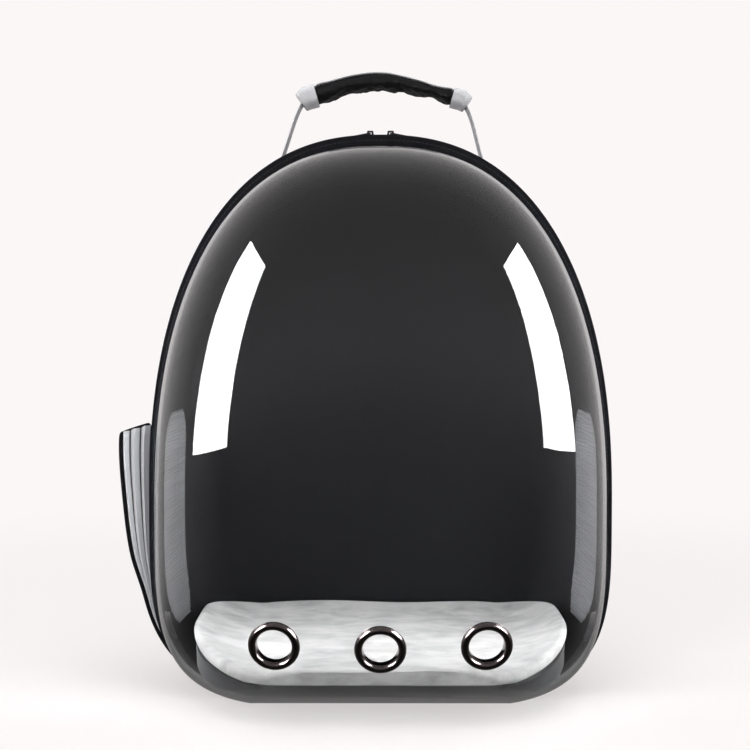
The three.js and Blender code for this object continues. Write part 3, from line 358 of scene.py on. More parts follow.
def build_pile():
    tree, given, out = group(
        "pile",
        [("Vector", "Vector", None)],
        [("Streaks", "Float"), ("Height", "Float")],
    )
    brushed = noise(tree, stretched(tree, given["Vector"], (45.0, 60.0, 60.0)), 1.0, 8.0, 0.6)
    broad = noise(tree, stretched(tree, given["Vector"], (16.0, 22.0, 22.0)), 1.0, 3.0, 0.6)
    hairs = noise(tree, stretched(tree, given["Vector"], (500.0, 1400.0, 500.0)), 1.0, 2.0)
    streaks = maths(tree, "ADD", maths(tree, "MULTIPLY", brushed, 0.6), maths(tree, "MULTIPLY", broad, 0.4))
    tree.links.new(streaks, out["Streaks"])
    tree.links.new(maths(tree, "ADD", streaks, maths(tree, "MULTIPLY", hairs, 0.35)), out["Height"])
    return tree


GROUPS = {"weave": build_weave(), "wear": build_wear(), "pile": build_pile()}
print("groups:", sorted(GROUPS))

# %% [markdown]
# Two functions make nearly all the finishes, one for cloth and one for plastic and metal. They place the
# groups, lead them to the shader and add a bump, so a new finish is one line with its two tones.

# %% Material helpers
def blank_material(name):
    material = bpy.data.materials.new(name)
    material.use_nodes = True
    return material, material.node_tree, material.node_tree.nodes["Principled BSDF"]


def coordinates(tree, kind):
    return tree.nodes.new("ShaderNodeTexCoord").outputs[kind]


def place_group(tree, name, **values):
    node = tree.nodes.new("ShaderNodeGroup")
    node.node_tree = GROUPS[name]
    for key, value in values.items():
        target = node.inputs[key.replace("_", " ")]
        if isinstance(value, tuple):
            target.default_value = (*value, 1)
        elif isinstance(value, (int, float)):
            target.default_value = value
        else:
            tree.links.new(value, target)
    return node.outputs


def bump(tree, shader, height, strength, distance):
    node = tree.nodes.new("ShaderNodeBump")
    node.inputs["Strength"].default_value = strength
    node.inputs["Distance"].default_value = distance
    tree.links.new(height, node.inputs["Height"])
    tree.links.new(node.outputs["Normal"], shader.inputs["Normal"])


CLOTH_SHINE = 0.05  # matt threads mirror very little
CLOTH_PATCHES = 0.6
HARD_PATCHES = 0.5


def cloth(name, dark, light, threads=1500.0, roughness=0.8, sheen=0.25, depth=0.00012, shine=CLOTH_SHINE):
    """A woven cloth: its weave follows the UV map, and its patches follow the object."""
    material, tree, shader = blank_material(name)
    weave = place_group(tree, "weave", Vector=coordinates(tree, "UV"), Threads_per_metre=threads)
    place = coordinates(tree, "Object")
    wear = place_group(tree, "wear", Vector=place, Dark=dark, Light=light, Patch=CLOTH_PATCHES)
    tint = maths(tree, "ADD", 0.8, maths(tree, "MULTIPLY", weave["Height"], 0.3))
    combine = tree.nodes.new("ShaderNodeCombineColor")
    for channel in range(3):
        tree.links.new(tint, combine.inputs[channel])
    node = tree.nodes.new("ShaderNodeMix")
    node.data_type = "RGBA"
    node.blend_type = "MULTIPLY"
    node.inputs[0].default_value = 1.0
    tree.links.new(wear["Color"], node.inputs[6])
    tree.links.new(combine.outputs[0], node.inputs[7])
    tree.links.new(node.outputs[2], shader.inputs["Base Color"])
    rough = maths(tree, "ADD", roughness - 0.08, maths(tree, "MULTIPLY", wear["Flecks"], 0.16))
    tree.links.new(rough, shader.inputs["Roughness"])
    shader.inputs["Specular IOR Level"].default_value = shine
    shader.inputs["Sheen Weight"].default_value = sheen
    shader.inputs["Sheen Roughness"].default_value = 0.4
    height = maths(tree, "ADD", weave["Height"], maths(tree, "MULTIPLY", wear["Flecks"], 0.4))
    bump(tree, shader, height, 0.6, depth)
    return material


def hard(name, dark, light, roughness, metallic=0.0, depth=0.00005):
    """Moulded plastic or plated metal: fine grain and soft handling marks."""
    material, tree, shader = blank_material(name)
    place = coordinates(tree, "Object")
    wear = place_group(tree, "wear", Vector=place, Dark=dark, Light=light, Patch=HARD_PATCHES)
    tree.links.new(wear["Color"], shader.inputs["Base Color"])
    rough = maths(tree, "ADD", roughness - 0.05, maths(tree, "MULTIPLY", wear["Flecks"], 0.1))
    tree.links.new(rough, shader.inputs["Roughness"])
    shader.inputs["Metallic"].default_value = metallic
    bump(tree, shader, wear["Flecks"], 0.3, depth)
    return material


# %% [markdown]
# The black cloths differ mostly in how much they shine: the shell has a faint sheen, and the lining and
# the binding have nearly none. Silver nylon is pale and tighter. Each takes its two tones from the dark
# and the light places of the real piece.

# %% The cloths and hard finishes
BLACK_CLOTH = cloth("black_polyester", (0.006, 0.006, 0.007), (0.022, 0.022, 0.025), sheen=0.06)
LINING = cloth(
    "black_lining", (0.004, 0.004, 0.005), (0.012, 0.012, 0.014), threads=1800.0, sheen=0.0, depth=0.00003
)
BINDING = cloth(
    "black_binding", (0.004, 0.004, 0.005), (0.012, 0.012, 0.014), threads=2000.0, roughness=0.9,
    sheen=0.0, shine=0.01,
)
WEBBING = cloth("black_webbing", (0.006, 0.006, 0.007), (0.024, 0.024, 0.027), threads=900.0, depth=0.0002)
SILVER = cloth("silver_nylon", (0.52, 0.53, 0.55), (0.88, 0.89, 0.92), threads=1600.0, roughness=0.42)
BLACK_PLASTIC = hard("black_plastic", (0.006, 0.006, 0.007), (0.02, 0.02, 0.022), 0.38)
GUNMETAL = hard("gunmetal_plate", (0.10, 0.085, 0.085), (0.22, 0.19, 0.19), 0.16, metallic=1.0)
WEBBING_PLAIN = hard("webbing_patch", (0.006, 0.006, 0.007), (0.024, 0.024, 0.027), 0.75, depth=0.0002)
SILVER_THREAD = cloth("grey_thread", (0.25, 0.25, 0.27), (0.5, 0.5, 0.52), threads=4000.0, roughness=0.6)
print("materials:", len(bpy.data.materials))

# %% [markdown]
# ## Clear plastic
# The bubble is blown from clear sheet, about 1.5 mm thick. A Principled shader with full transmission
# bends and reflects light as the sheet does. Shadow rays meet a plain transparent shader instead, so that
# the lamps still reach the mat inside without the noise of caustics.

# %% The clear bubble's material
def clear_plastic():
    material, tree, shader = blank_material("clear_plastic")
    shader.inputs["Base Color"].default_value = (0.97, 0.98, 0.98, 1)
    shader.inputs["IOR"].default_value = 1.46
    shader.inputs["Transmission Weight"].default_value = 1.0
    smudge = noise(tree, coordinates(tree, "Object"), 30.0, 4.0, 0.6)
    rough = maths(tree, "ADD", 0.004, maths(tree, "MULTIPLY", smudge, 0.014))
    tree.links.new(rough, shader.inputs["Roughness"])
    ripple = noise(tree, coordinates(tree, "Object"), 11.0, 1.0)
    bump(tree, shader, ripple, 0.15, 0.0008)
    clear = tree.nodes.new("ShaderNodeBsdfTransparent")
    clear.inputs["Color"].default_value = (0.93, 0.94, 0.94, 1)
    shadow = tree.nodes.new("ShaderNodeLightPath").outputs["Is Shadow Ray"]
    blended(tree, shadow, shader, clear, "Material Output")
    return material


CLEAR = clear_plastic()
print("clear material:", CLEAR.name)

# %% [markdown]
# ## The studio
# The photograph has an even white surround behind the bag and a dimmer room in front of it, which is what
# the dark middle of the bubble mirrors. So the world is one pale tone to the camera, and to every other
# ray it fades from white behind the bag to grey in front. The two bright quadrilaterals are tall
# softboxes beside the camera. They stand where rays reflected off the bubble at those places lead.

# %% World
PALE = (0.965, 0.93, 0.93)
ROOM_BEHIND = 0.62
ROOM_IN_FRONT = 0.34
ROOM_IN_FRONT_LOW = 0.05
ROOM_BELOW = 0.25  # the share that is left of either, straight down


def make_world():
    """Pale to the camera. For light and mirror images, white behind the bag and grey in front."""
    world = bpy.data.worlds.new("pale surround")
    world.use_nodes = True
    tree = world.node_tree
    split = tree.nodes.new("ShaderNodeSeparateXYZ")
    tree.links.new(coordinates(tree, "Generated"), split.inputs[0])
    in_front = smooth_range(tree, split.outputs["Z"], -0.2, 0.2, ROOM_IN_FRONT_LOW, ROOM_IN_FRONT)
    around = smooth_range(tree, split.outputs["Y"], -0.8, 0.45, in_front, ROOM_BEHIND)
    lowered = smooth_range(tree, split.outputs["Z"], -0.4, 0.02, ROOM_BELOW, 1.0)
    room = tree.nodes["Background"]
    room.inputs["Color"].default_value = (*PALE, 1)
    tree.links.new(maths(tree, "MULTIPLY", around, lowered), room.inputs["Strength"])
    seen = tree.nodes.new("ShaderNodeBackground")
    seen.inputs["Color"].default_value = (*PALE, 1)
    to_camera = tree.nodes.new("ShaderNodeLightPath").outputs["Is Camera Ray"]
    blended(tree, to_camera, room, seen, "World Output")
    bpy.context.scene.world = world


make_world()
print("world:", bpy.context.scene.world.name)

# %% [markdown]
# The floor is lit near the bag and fades to the world's own tone further out, so no horizon shows. The
# bubble doesn't mirror it: in the photograph the bag floats on a cut-out ground.

# %% Floor and lights
FLOOR_LIT_RADIUS = 0.35
FLOOR_FADED_RADIUS = 1.2
FLOOR_GLOW = 0.6  # near the bag, so that its shadow stays faint


def make_floor():
    bpy.ops.object.select_all(action="DESELECT")
    bpy.ops.mesh.primitive_plane_add(size=60)
    floor = bpy.context.active_object
    floor.name = "floor"
    material, tree, shader = blank_material("pale_floor")
    shader.inputs["Base Color"].default_value = (0.90, 0.87, 0.87, 1)
    shader.inputs["Roughness"].default_value = 0.6
    glow = tree.nodes.new("ShaderNodeEmission")
    glow.inputs["Color"].default_value = (*PALE, 1)
    far = tree.nodes.new("ShaderNodeVectorMath")
    far.operation = "LENGTH"
    tree.links.new(coordinates(tree, "Object"), far.inputs[0])
    fade = smooth_range(tree, far.outputs["Value"], FLOOR_LIT_RADIUS, FLOOR_FADED_RADIUS, FLOOR_GLOW)
    blended(tree, fade, shader, glow, "Material Output")
    floor.data.materials.append(material)
    floor.visible_glossy = False
    floor.visible_transmission = False
    return floor


def softbox(name, place, aim, width, height, power):
    bpy.ops.object.light_add(type="AREA", location=place)
    light = bpy.context.active_object
    light.name = name
    light.data.shape = "RECTANGLE"
    light.data.size = width
    light.data.size_y = height
    light.data.energy = power
    light.visible_camera = False
    light.rotation_euler = (Vector(aim) - Vector(place)).to_track_quat("-Z", "Y").to_euler()
    return light


def side_softbox(name, place, width, height, power):
    """A tall softbox that faces straight across. It is there for its mirror image on the bubble."""
    across = Vector((-math.copysign(1, place[0]), 0, 0))
    light = softbox(name, place, Vector(place) + across, width, height, power)
    light.visible_diffuse = False
    return light


def soft_fill(name, place, width, height, power):
    """A softbox that lights the bag and leaves no mirror image of its own."""
    light = softbox(name, place, (0, 0, 0.2), width, height, power)
    light.visible_glossy = False
    light.visible_transmission = False
    return light


make_floor()
soft_fill("top softbox", (0, -0.5, 2.2), 2.2, 1.8, 34)
soft_fill("front softbox", (-0.9, -2.4, 1.3), 1.2, 1.2, 14)
side_softbox("left softbox", (-1.3, -1.09, 0.77), 1.0, 1.23, 115)
side_softbox("right softbox", (1.3, -0.83, 0.73), 0.91, 1.13, 100)
bpy.context.scene.view_settings.view_transform = "Standard"

# %% [markdown]
# ## The bubble
# The bubble is a deep dome on the bag's outline: bulging, with a broad nose. Each ring is the base outline
# shrunk towards a point well above the vents, and pushed forward along a superellipse. The rings are
# close together, so that its reflections stay smooth. It's made as one surface and thickened inwards.

# %% Bubble
BUBBLE_FRONT = -0.0637
BUBBLE_DEEP = 0.112
BUBBLE_FOCUS = 0.150
BUBBLE_SIDE_POWER = 3.0
BUBBLE_DEPTH_POWER = 3.5
BUBBLE_WALL = 0.0015
CLEARANCE = 0.0003
BINDING_INSET = 0.0013
BINDING_WIDTHS = (0.0072, 0.0094, 0.0040)  # at the sides, the crown and the base
FLANGE_SHARE = 0.6  # of the binding's width


def across_binding(share, further=0.0):
    """The inset at the sides, the crown and the base, at a share of the way across the binding."""
    return [BINDING_INSET + share * width + further for width in BINDING_WIDTHS]


def bubble_rows(count_down=48, count_round=240):
    """Rings from the base to the nose, evenly spaced along the dome's profile."""
    turn = np.linspace(0, np.pi / 2, 4001)
    reach = np.cos(turn) ** (2 / BUBBLE_SIDE_POWER)
    rise = np.sin(turn) ** (2 / BUBBLE_DEPTH_POWER)
    length = np.concatenate([[0], np.cumsum(np.hypot(np.diff(reach) * 0.17, np.diff(rise) * BUBBLE_DEEP))])
    even = np.linspace(0, length[-1], count_down)
    base = ring(0, *across_binding(1, CLEARANCE), count_round)
    focus = np.array([0, 0, BUBBLE_FOCUS])
    rows = []
    for scale, out in zip(np.interp(even, length, reach), np.interp(even, length, rise)):
        row = focus + scale * (base - focus)
        row[:, 1] = BUBBLE_FRONT - BUBBLE_DEEP * out
        rows.append(row)
    return rows


def bubble_depth(x, z, inward=0.0, beyond=BUBBLE_FRONT):
    """Where the bubble's face is in front of points of the outline's plane, or a value beyond its edge."""
    base = ring(0, *across_binding(1, CLEARANCE + inward), 1440)
    bearing = np.arctan2(base[:, 2] - BUBBLE_FOCUS, base[:, 0])
    order = np.argsort(bearing)
    radius = np.hypot(base[:, 0], base[:, 2] - BUBBLE_FOCUS)
    edge = np.interp(np.arctan2(z - BUBBLE_FOCUS, x), bearing[order], radius[order], period=2 * np.pi)
    share = np.hypot(x, z - BUBBLE_FOCUS) / edge
    out = (1 - np.minimum(1, share) ** BUBBLE_SIDE_POWER) ** (1 / BUBBLE_DEPTH_POWER)
    return np.where(share < 1, BUBBLE_FRONT - (BUBBLE_DEEP - inward) * out, beyond)


def make_bubble():
    rows = [ring(BUBBLE_FRONT, *across_binding(1 - FLANGE_SHARE, CLEARANCE), 240)] + bubble_rows()
    bubble = skin("clear_bubble", rows)
    solidify(bubble, BUBBLE_WALL)
    return give(bubble, CLEAR, "clear", "bubble")


bubble = make_bubble()
print("bubble faces:", len(bubble.data.polygons))

# %% [markdown]
# ## The shell
# Behind the rim the bag is one padded, hard-sided shell. Its sides draw in a little towards the back, its
# crown draws in more, and a wide rounding turns them into the flat back. Rows of the outline, each with
# its own inset, give that shape. The surface is thickened inwards, with the lining on its inner side.

# %% Shell surface
SHELL_START = RIM_Y + 0.013
SHELL_BACK = RIM_Y + 0.150
BACK_ROUNDING = 0.038
SHELL_SET_IN = 0.002
SIDE_DRAFT = 0.007
SIDE_DRAFT_POWER = 1.62
CROWN_DRAFT = 0.018
CROWN_DRAFT_POWER = 1.9
SHELL_WALL = 0.003


def shell_ring(y, outside=0.0, count=240):
    """One section of the shell, at a depth and a distance outside its outer face."""
    turn_start = SHELL_BACK - BACK_ROUNDING
    share = min(max((y - SHELL_START) / (turn_start - SHELL_START), 0), 1)
    radius = BACK_ROUNDING + outside
    over = min(max((y - turn_start) / radius, 0), 1)
    drawn = BACK_ROUNDING - radius * math.sqrt(1 - over * over) if over else -outside
    side = SHELL_SET_IN + SIDE_DRAFT * share**SIDE_DRAFT_POWER + drawn
    crown = SHELL_SET_IN + CROWN_DRAFT * share**CROWN_DRAFT_POWER + drawn
    return ring(y, side, crown, drawn, count)


def shell_rows(straight=14, turned=14):
    """Sections from the front edge to the back, and rings that close the back to its middle."""
    turn_start = SHELL_BACK - BACK_ROUNDING
    depths = list(np.linspace(SHELL_START, turn_start, straight))
    depths += [turn_start + BACK_ROUNDING * math.sin(turn)
               for turn in np.linspace(0, math.pi / 2, turned + 1)[1:]]
    rows = [shell_ring(y) for y in depths]
    middle = np.array([0, depths[-1], BUBBLE_FOCUS])
    return rows + [middle + share * (rows[-1] - middle) for share in (0.8, 0.55, 0.3, 0.1, 0)]


def shell_x(y, z, outside=0.0):
    """The shell's half width at a depth and a height, or at an array of heights."""
    section = shell_ring(y, outside, 480)[:241]
    return np.interp(z, section[:, 2], section[:, 0])


def shell_z(y, x, outside=0.0):
    """The shell's upper surface at a depth and a distance from the middle."""
    section = shell_ring(y, outside, 480)[:241]
    widest = int(np.argmax(section[:, 0]))
    upper = section[widest:][::-1]
    return np.interp(np.abs(x), upper[:, 0], upper[:, 2])


print("shell half width at the windows:", round(float(shell_x(0.0, 0.13)), 4))

# %% [markdown]
# ## Window openings
# Each side has a tall window with rounded corners. A block with the window's outline is made by bevelling
# the four long edges of a cube, and the shell is cut with it. A Boolean leaves clean edges here, because
# the wall is thin and the block goes right through it.

# %% Cut the shell
WINDOW_Y = (-0.029, 0.045)
WINDOW_Z = (0.052, 0.200)
WINDOW_CORNER = 0.024
WINDOW_BLOCK_X = 0.143  # the cutting block's middle, out from the bag's
WINDOW_BLOCK_THICK = 0.117


def window_block(side):
    """A block across one side of the bag with the window's rounded outline."""
    bpy.ops.object.select_all(action="DESELECT")
    size = (WINDOW_BLOCK_THICK, WINDOW_Y[1] - WINDOW_Y[0], WINDOW_Z[1] - WINDOW_Z[0])
    middle = (side * WINDOW_BLOCK_X, sum(WINDOW_Y) / 2, sum(WINDOW_Z) / 2)
    bpy.ops.mesh.primitive_cube_add(size=1, location=middle, scale=size)
    bpy.ops.object.transform_apply(location=True, rotation=True, scale=True)
    block = bpy.context.active_object
    bpy.ops.object.mode_set(mode="EDIT")
    bpy.ops.mesh.select_all(action="DESELECT")
    bpy.ops.mesh.select_mode(type="EDGE")
    edit = bmesh.from_edit_mesh(block.data)
    for edge in edit.edges:
        first, second = (v.co for v in edge.verts)
        edge.select_set(abs(first.x - second.x) > 0.01)
    bmesh.update_edit_mesh(block.data)
    bpy.ops.mesh.bevel(offset=WINDOW_CORNER, segments=12)
    bpy.ops.object.mode_set(mode="OBJECT")
    return block


def cut(piece, block):
    apply_modifier(piece, "BOOLEAN", object=block, operation="DIFFERENCE", solver="EXACT")
    bpy.data.objects.remove(block)
    select_only(piece)
    bpy.ops.object.shade_smooth_by_angle(angle=math.radians(45))


def make_shell():
    shell = skin("shell_cloth", shell_rows())
    shell.data.materials.append(BLACK_CLOTH)
    shell.data.materials.append(LINING)
    apply_modifier(
        shell, "SOLIDIFY", thickness=SHELL_WALL, offset=-1, material_offset=1, material_offset_rim=1
    )
    for side in (-1, 1):
        cut(shell, window_block(side))
    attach(shell, CARRIER)
    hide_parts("shell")
    return shell


shell = make_shell()
print("shell faces:", len(shell.data.polygons))

# %% [markdown]
# ## The rim
# Four closed rings meet at the rim: the shell's piping, the zip's tape with its coil, and the binding that
# wraps the bubble's flange. The piping and the tape are small rounded sections carried round the outline,
# so one function draws both from the section's middle and half sizes.

# %% Rim rings
RIM_POINTS = 360
ZIP_DEPTH = 0.004
ZIP_PITCH = 0.0013
ZIP_STAGGER = 0.0007  # how far the two rows of teeth stand apart, from the middle
BINDING_DEPTH = -0.00295
BINDING_HALF_DEPTH = 0.0028


def rim_ring(name, inset, depth, half_inset, half_depth, power, material, slot, *nodes, sides=16):
    """A tube round the outline with a squarish section, placed by its inset and its depth."""
    angle = np.linspace(0, 2 * np.pi, sides + 1)
    across = np.sign(np.cos(angle)) * np.abs(np.cos(angle)) ** (2 / power)
    ahead = np.sign(np.sin(angle)) * np.abs(np.sin(angle)) ** (2 / power)
    rows = [ring(RIM_Y + depth + d * half_depth, inset + a * half_inset, count=RIM_POINTS)
            for a, d in zip(across, ahead)]
    return give(skin(name, rows), material, slot, *nodes)


piping = rim_ring("shell_piping_cord", 0.0023, 0.0104, 0.0023, 0.00225, 2.6, BINDING, "trim", "shell_piping")
tape = rim_ring("zip_tape_weave", 0.0053, ZIP_DEPTH, 0.0006, 0.0038, 6, WEBBING, "trim", "zip_tape")


def make_binding(sides=24):
    """The band that wraps the bubble's flange: wide at the crown, narrow at the base."""
    angle = np.linspace(0, 2 * np.pi, sides + 1)
    across = 0.5 + 0.5 * np.sign(np.cos(angle)) * np.abs(np.cos(angle)) ** 0.5
    depth = BINDING_DEPTH + BINDING_HALF_DEPTH * np.sign(np.sin(angle)) * np.abs(np.sin(angle)) ** 0.7
    rows = [ring(RIM_Y + d, *across_binding(a), RIM_POINTS) for a, d in zip(across, depth)]
    return give(skin("flange_binding", rows), BINDING, "trim", "bubble_binding")


binding = make_binding()
print("rim rings:", [piece.name for piece in (piping, tape, binding)])

# %% [markdown]
# ## Small things in a row
# Zip teeth and stitches repeat hundreds of times. One is modelled as a small bevelled block, and its mesh
# is then copied along a path into one joined mesh. Each copy gets a matrix of its own: where it lies, which
# way it runs and which way is up.

# %% Rows of copies
def small_block(length, width, height, bevel):
    """A block with rounded edges, for a stitch or a zip tooth: its corners and faces."""
    bpy.ops.object.select_all(action="DESELECT")
    bpy.ops.mesh.primitive_cube_add(size=1, scale=(length, width, height))
    bpy.ops.object.transform_apply(location=False, rotation=False, scale=True)
    block = bpy.context.active_object
    bpy.ops.object.mode_set(mode="EDIT")
    bpy.ops.mesh.select_all(action="SELECT")
    bpy.ops.mesh.bevel(offset=bevel, segments=1)
    bpy.ops.object.mode_set(mode="OBJECT")
    points = np.array([v.co[:] for v in block.data.vertices])
    faces = [tuple(f.vertices) for f in block.data.polygons]
    bpy.data.objects.remove(block)
    return points, faces


def placed(name, block, places, aheads, ups):
    """Copies of a block in one mesh, each at its place, running ahead, with its top upwards."""
    points, faces = block
    places, aheads, ups = (np.array(v, dtype=float) for v in (places, aheads, ups))
    aheads /= np.linalg.norm(aheads, axis=1)[:, None]
    sides = np.cross(ups, aheads)
    sides /= np.linalg.norm(sides, axis=1)[:, None]
    ups = np.cross(aheads, sides)
    frames = np.stack([aheads, sides, ups], 1)
    corners = places[:, None, :] + points @ frames
    all_faces = [tuple(i + k * len(points) for i in f) for k in range(len(places)) for f in faces]
    mesh = bpy.data.meshes.new(name)
    mesh.from_pydata(corners.reshape(-1, 3).tolist(), [], all_faces)
    piece = bpy.data.objects.new(name, mesh)
    bpy.context.collection.objects.link(piece)
    select_only(piece)
    bpy.ops.object.shade_smooth_by_angle(angle=math.radians(40))
    return piece


def even_path(path, pitch):
    """Points along a path at an even pitch, and the directions there."""
    path = np.array(path, dtype=float)
    length = np.concatenate([[0], np.cumsum(np.linalg.norm(np.diff(path, axis=0), axis=1))])
    at = np.arange(pitch / 2, length[-1], pitch)
    spots = np.stack([np.interp(at, length, path[:, k]) for k in range(3)], 1)
    nearby = np.stack([np.interp(at + pitch / 4, length, path[:, k]) for k in range(3)], 1)
    before = np.stack([np.interp(at - pitch / 4, length, path[:, k]) for k in range(3)], 1)
    return spots, nearby - before


STITCH = small_block(0.0024, 0.0006, 0.0005, 0.00018)


def stitch_row(name, path, ups, material=None, pitch=0.0033, slot="trim"):
    """A row of stitches along a path. ups is the surface's outward direction, one or one per point."""
    spots, aheads = even_path(path, pitch)
    ups = np.array(ups, dtype=float)
    if ups.ndim == 2:
        share = np.linspace(0, len(ups) - 1, len(spots)).round().astype(int)
        ups = ups[share]
    else:
        ups = np.broadcast_to(ups, spots.shape)
    return give(placed(name, STITCH, spots, aheads, ups), material or THREAD, slot)


# %% [markdown]
# A closed zip shows two rows of teeth that mesh. Both come from one run of places round the rim, of which
# every other one is moved forward and the rest backward. A row of stitches follows the binding.

# %% Thread and zip teeth
THREAD = cloth("black_thread", (0.01, 0.01, 0.011), (0.035, 0.035, 0.038), threads=4000.0, roughness=0.6)
ZIP_TOOTH = small_block(0.0008, 0.0032, 0.0012, 0.0003)


def make_zip_teeth():
    """Two rows of teeth, interleaved across the middle of the tape."""
    loop = ring(RIM_Y + ZIP_DEPTH, 0.0040, count=720)
    spots, aheads = even_path(loop, ZIP_PITCH)
    ups = np.cross(aheads, (0, 1, 0))
    ups *= np.sign((ups * (spots - (0, RIM_Y, BUBBLE_FOCUS))).sum(1))[:, None]
    spots[::2, 1] -= ZIP_STAGGER
    spots[1::2, 1] += ZIP_STAGGER
    return give(placed("zip_teeth", ZIP_TOOTH, spots, aheads, ups), BLACK_PLASTIC, "plastic", "zip_coil")


teeth = make_zip_teeth()
seam = ring(RIM_Y + BINDING_DEPTH - BINDING_HALF_DEPTH - 0.00015, *across_binding(0.45), 720)
stitch_row("binding_stitches", seam, (0, -1, 0))
print("zip teeth faces:", len(teeth.data.polygons))

# %% [markdown]
# ## The floor board and the mat
# A dark board lies in the curve of the base, and a pale brushed mat lies on it. Both have a D shape: a
# nearly straight back edge and a bowed front. The mat is a soft slab with a rolled edge, so its rows run
# from the underside round the edge and over a slightly crowned top.

# %% Floor layers
BOARD_THICK = 0.0255
MAT_THICK = 0.011
MAT_CURL = 0.009  # the back edge turns up against the wall
MAT_CURL_START = 0.035
MAT_CURL_REACH = 0.047
FLOOR_HALF_WIDTH = 0.137
FLOOR_GAP = 0.002  # between the layers' edge and the bubble
FLOOR_BACK = SHELL_BACK - SHELL_WALL - 0.005
FLOOR_FRONT = BUBBLE_FRONT - BUBBLE_DEEP + BUBBLE_WALL + 0.014
FLOOR_MIDDLE = FLOOR_BACK + 0.46 * (FLOOR_FRONT - FLOOR_BACK)


def floor_height(x):
    """The shell's inner floor across the width."""
    across = np.minimum(1, np.abs(x) / (HALF_WIDTH - SHELL_SET_IN))
    fall = (1 - across**BASE_POWER) ** (1 / BASE_POWER)
    return np.maximum(0, WIDEST_HEIGHT - (WIDEST_HEIGHT + BASE_CUT) * fall) + SHELL_WALL


def floor_ring(scale, drawn, height, count=200):
    """One D-shaped ring, scaled about the middle and drawn in, at a height above the base's curve."""
    angle = np.linspace(0, 2 * np.pi, count + 1)
    c, s = np.cos(angle), np.sin(angle)
    reach = np.where(s > 0, FLOOR_BACK - FLOOR_MIDDLE, FLOOR_MIDDLE - FLOOR_FRONT)
    power = np.where(s > 0, 5.0, 2.7)
    r = (np.abs(c / FLOOR_HALF_WIDTH) ** power + np.abs(s / reach) ** power) ** (-1 / power)
    r = scale * r - drawn
    x, y = r * c, FLOOR_MIDDLE + r * s
    z = floor_height(x) + height
    return np.stack([x, np.maximum(y, bubble_depth(x, z, BUBBLE_WALL + FLOOR_GAP, SHELL_START)), z], 1)


# %% [markdown]
# Both layers are skins through such rings. The mat could be puffed as cloth too, but its plush hides small
# folds, so a crowned top with a few broad dents is enough. Its back edge curls up against the wall.

# %% Board and mat
def pile_cloth():
    """Short brushed plush: pale, streaked along its width, with fine hairs in the bump."""
    material, tree, shader = blank_material("brushed_plush")
    pile = place_group(tree, "pile", Vector=coordinates(tree, "Object"))
    ramp = tree.nodes.new("ShaderNodeValToRGB")
    ramp.color_ramp.elements[0].position = 0.30
    ramp.color_ramp.elements[0].color = (0.17, 0.165, 0.165, 1)
    ramp.color_ramp.elements[1].position = 0.60
    ramp.color_ramp.elements[1].color = (0.47, 0.46, 0.46, 1)
    tree.links.new(pile["Streaks"], ramp.inputs[0])
    tree.links.new(ramp.outputs[0], shader.inputs["Base Color"])
    shader.inputs["Roughness"].default_value = 0.95
    shader.inputs["Sheen Weight"].default_value = 0.35
    shader.inputs["Sheen Roughness"].default_value = 0.5
    bump(tree, shader, pile["Height"], 0.8, 0.0016)
    return material


MAT_PILE = pile_cloth()
BOARD_CLOTH = cloth("board_cloth", (0.010, 0.010, 0.011), (0.032, 0.032, 0.036), threads=1100.0)


def make_board():
    edge = BOARD_THICK
    rows = [floor_ring(s, 0.0015, 0.0) for s in (0.001, 0.5, 0.9)]
    rows += [floor_ring(1, 0.003, 0.0)]
    rows += [floor_ring(1, 0.0015, height) for height in np.linspace(0.0015, edge - 0.002, 12)]
    rows += [floor_ring(1, 0.0035, edge - 0.0004)]
    rows += [floor_ring(s, 0.0035, edge - 0.0004) for s in (0.9, 0.5, 0.001)]
    return give(skin("floor_board_cloth", rows), BOARD_CLOTH, "board", "floor_board")


def make_mat():
    """The plush slab: rolled edge, crowned top, and a few broad dents from use."""
    low = BOARD_THICK
    rows = [floor_ring(s, 0, low) for s in (0.001, 0.4, 0.8, 0.97)]
    half = MAT_THICK / 2
    for turn in np.linspace(-90, 90, 11):
        out = half * math.cos(math.radians(turn))
        rise = half * math.sin(math.radians(turn))
        rows.append(floor_ring(1, half - out, low + half + rise))
    for s in np.linspace(0.94, 0.0, 26):
        rows.append(floor_ring(max(s, 0.001), half * s, low + MAT_THICK + 0.0012 * (1 - s * s)))
    mat = skin("floor_mat_plush", rows)
    points = np.array([v.co[:] for v in mat.data.vertices])
    top = np.clip((points[:, 2] - floor_height(points[:, 0]) - low - half) / half, 0, 1)
    x, y = points[:, 0] * 1000, points[:, 1] * 1000
    dents = np.sin(x / 31 + 0.6) * np.sin(y / 23 + 1.1) + 0.6 * np.sin(x / 17 - y / 29)
    curl = np.clip((points[:, 1] - MAT_CURL_START) / MAT_CURL_REACH, 0, 1) ** 2
    points[:, 2] += top * 0.0006 * dents + (0.35 + 0.65 * top) * MAT_CURL * curl
    mat.data.vertices.foreach_set("co", points.reshape(-1))
    return give(mat, MAT_PILE, "mat", "floor_mat")


make_board()
mat = make_mat()
print("mat box:", [round(v, 3) for v in mat.dimensions])

# %% [markdown]
# ## The vents
# Three rolled metal eyelets are clenched through the bubble's wall near its foot. The wall is drilled with
# cylinders first. Each eyelet is then a profile turned about its own axis: an outer roll, a neck through
# the hole and a flat washer inside. The axis is the bubble's normal at that place.

# %% Drill the bubble
VENTS = {"left": (-0.071, 0.0595), "middle": (0.0, 0.057), "right": (0.071, 0.0595)}
HOLE_RADIUS = 0.0119
RING_RADIUS = 0.0176
BARREL_RADIUS = 0.013


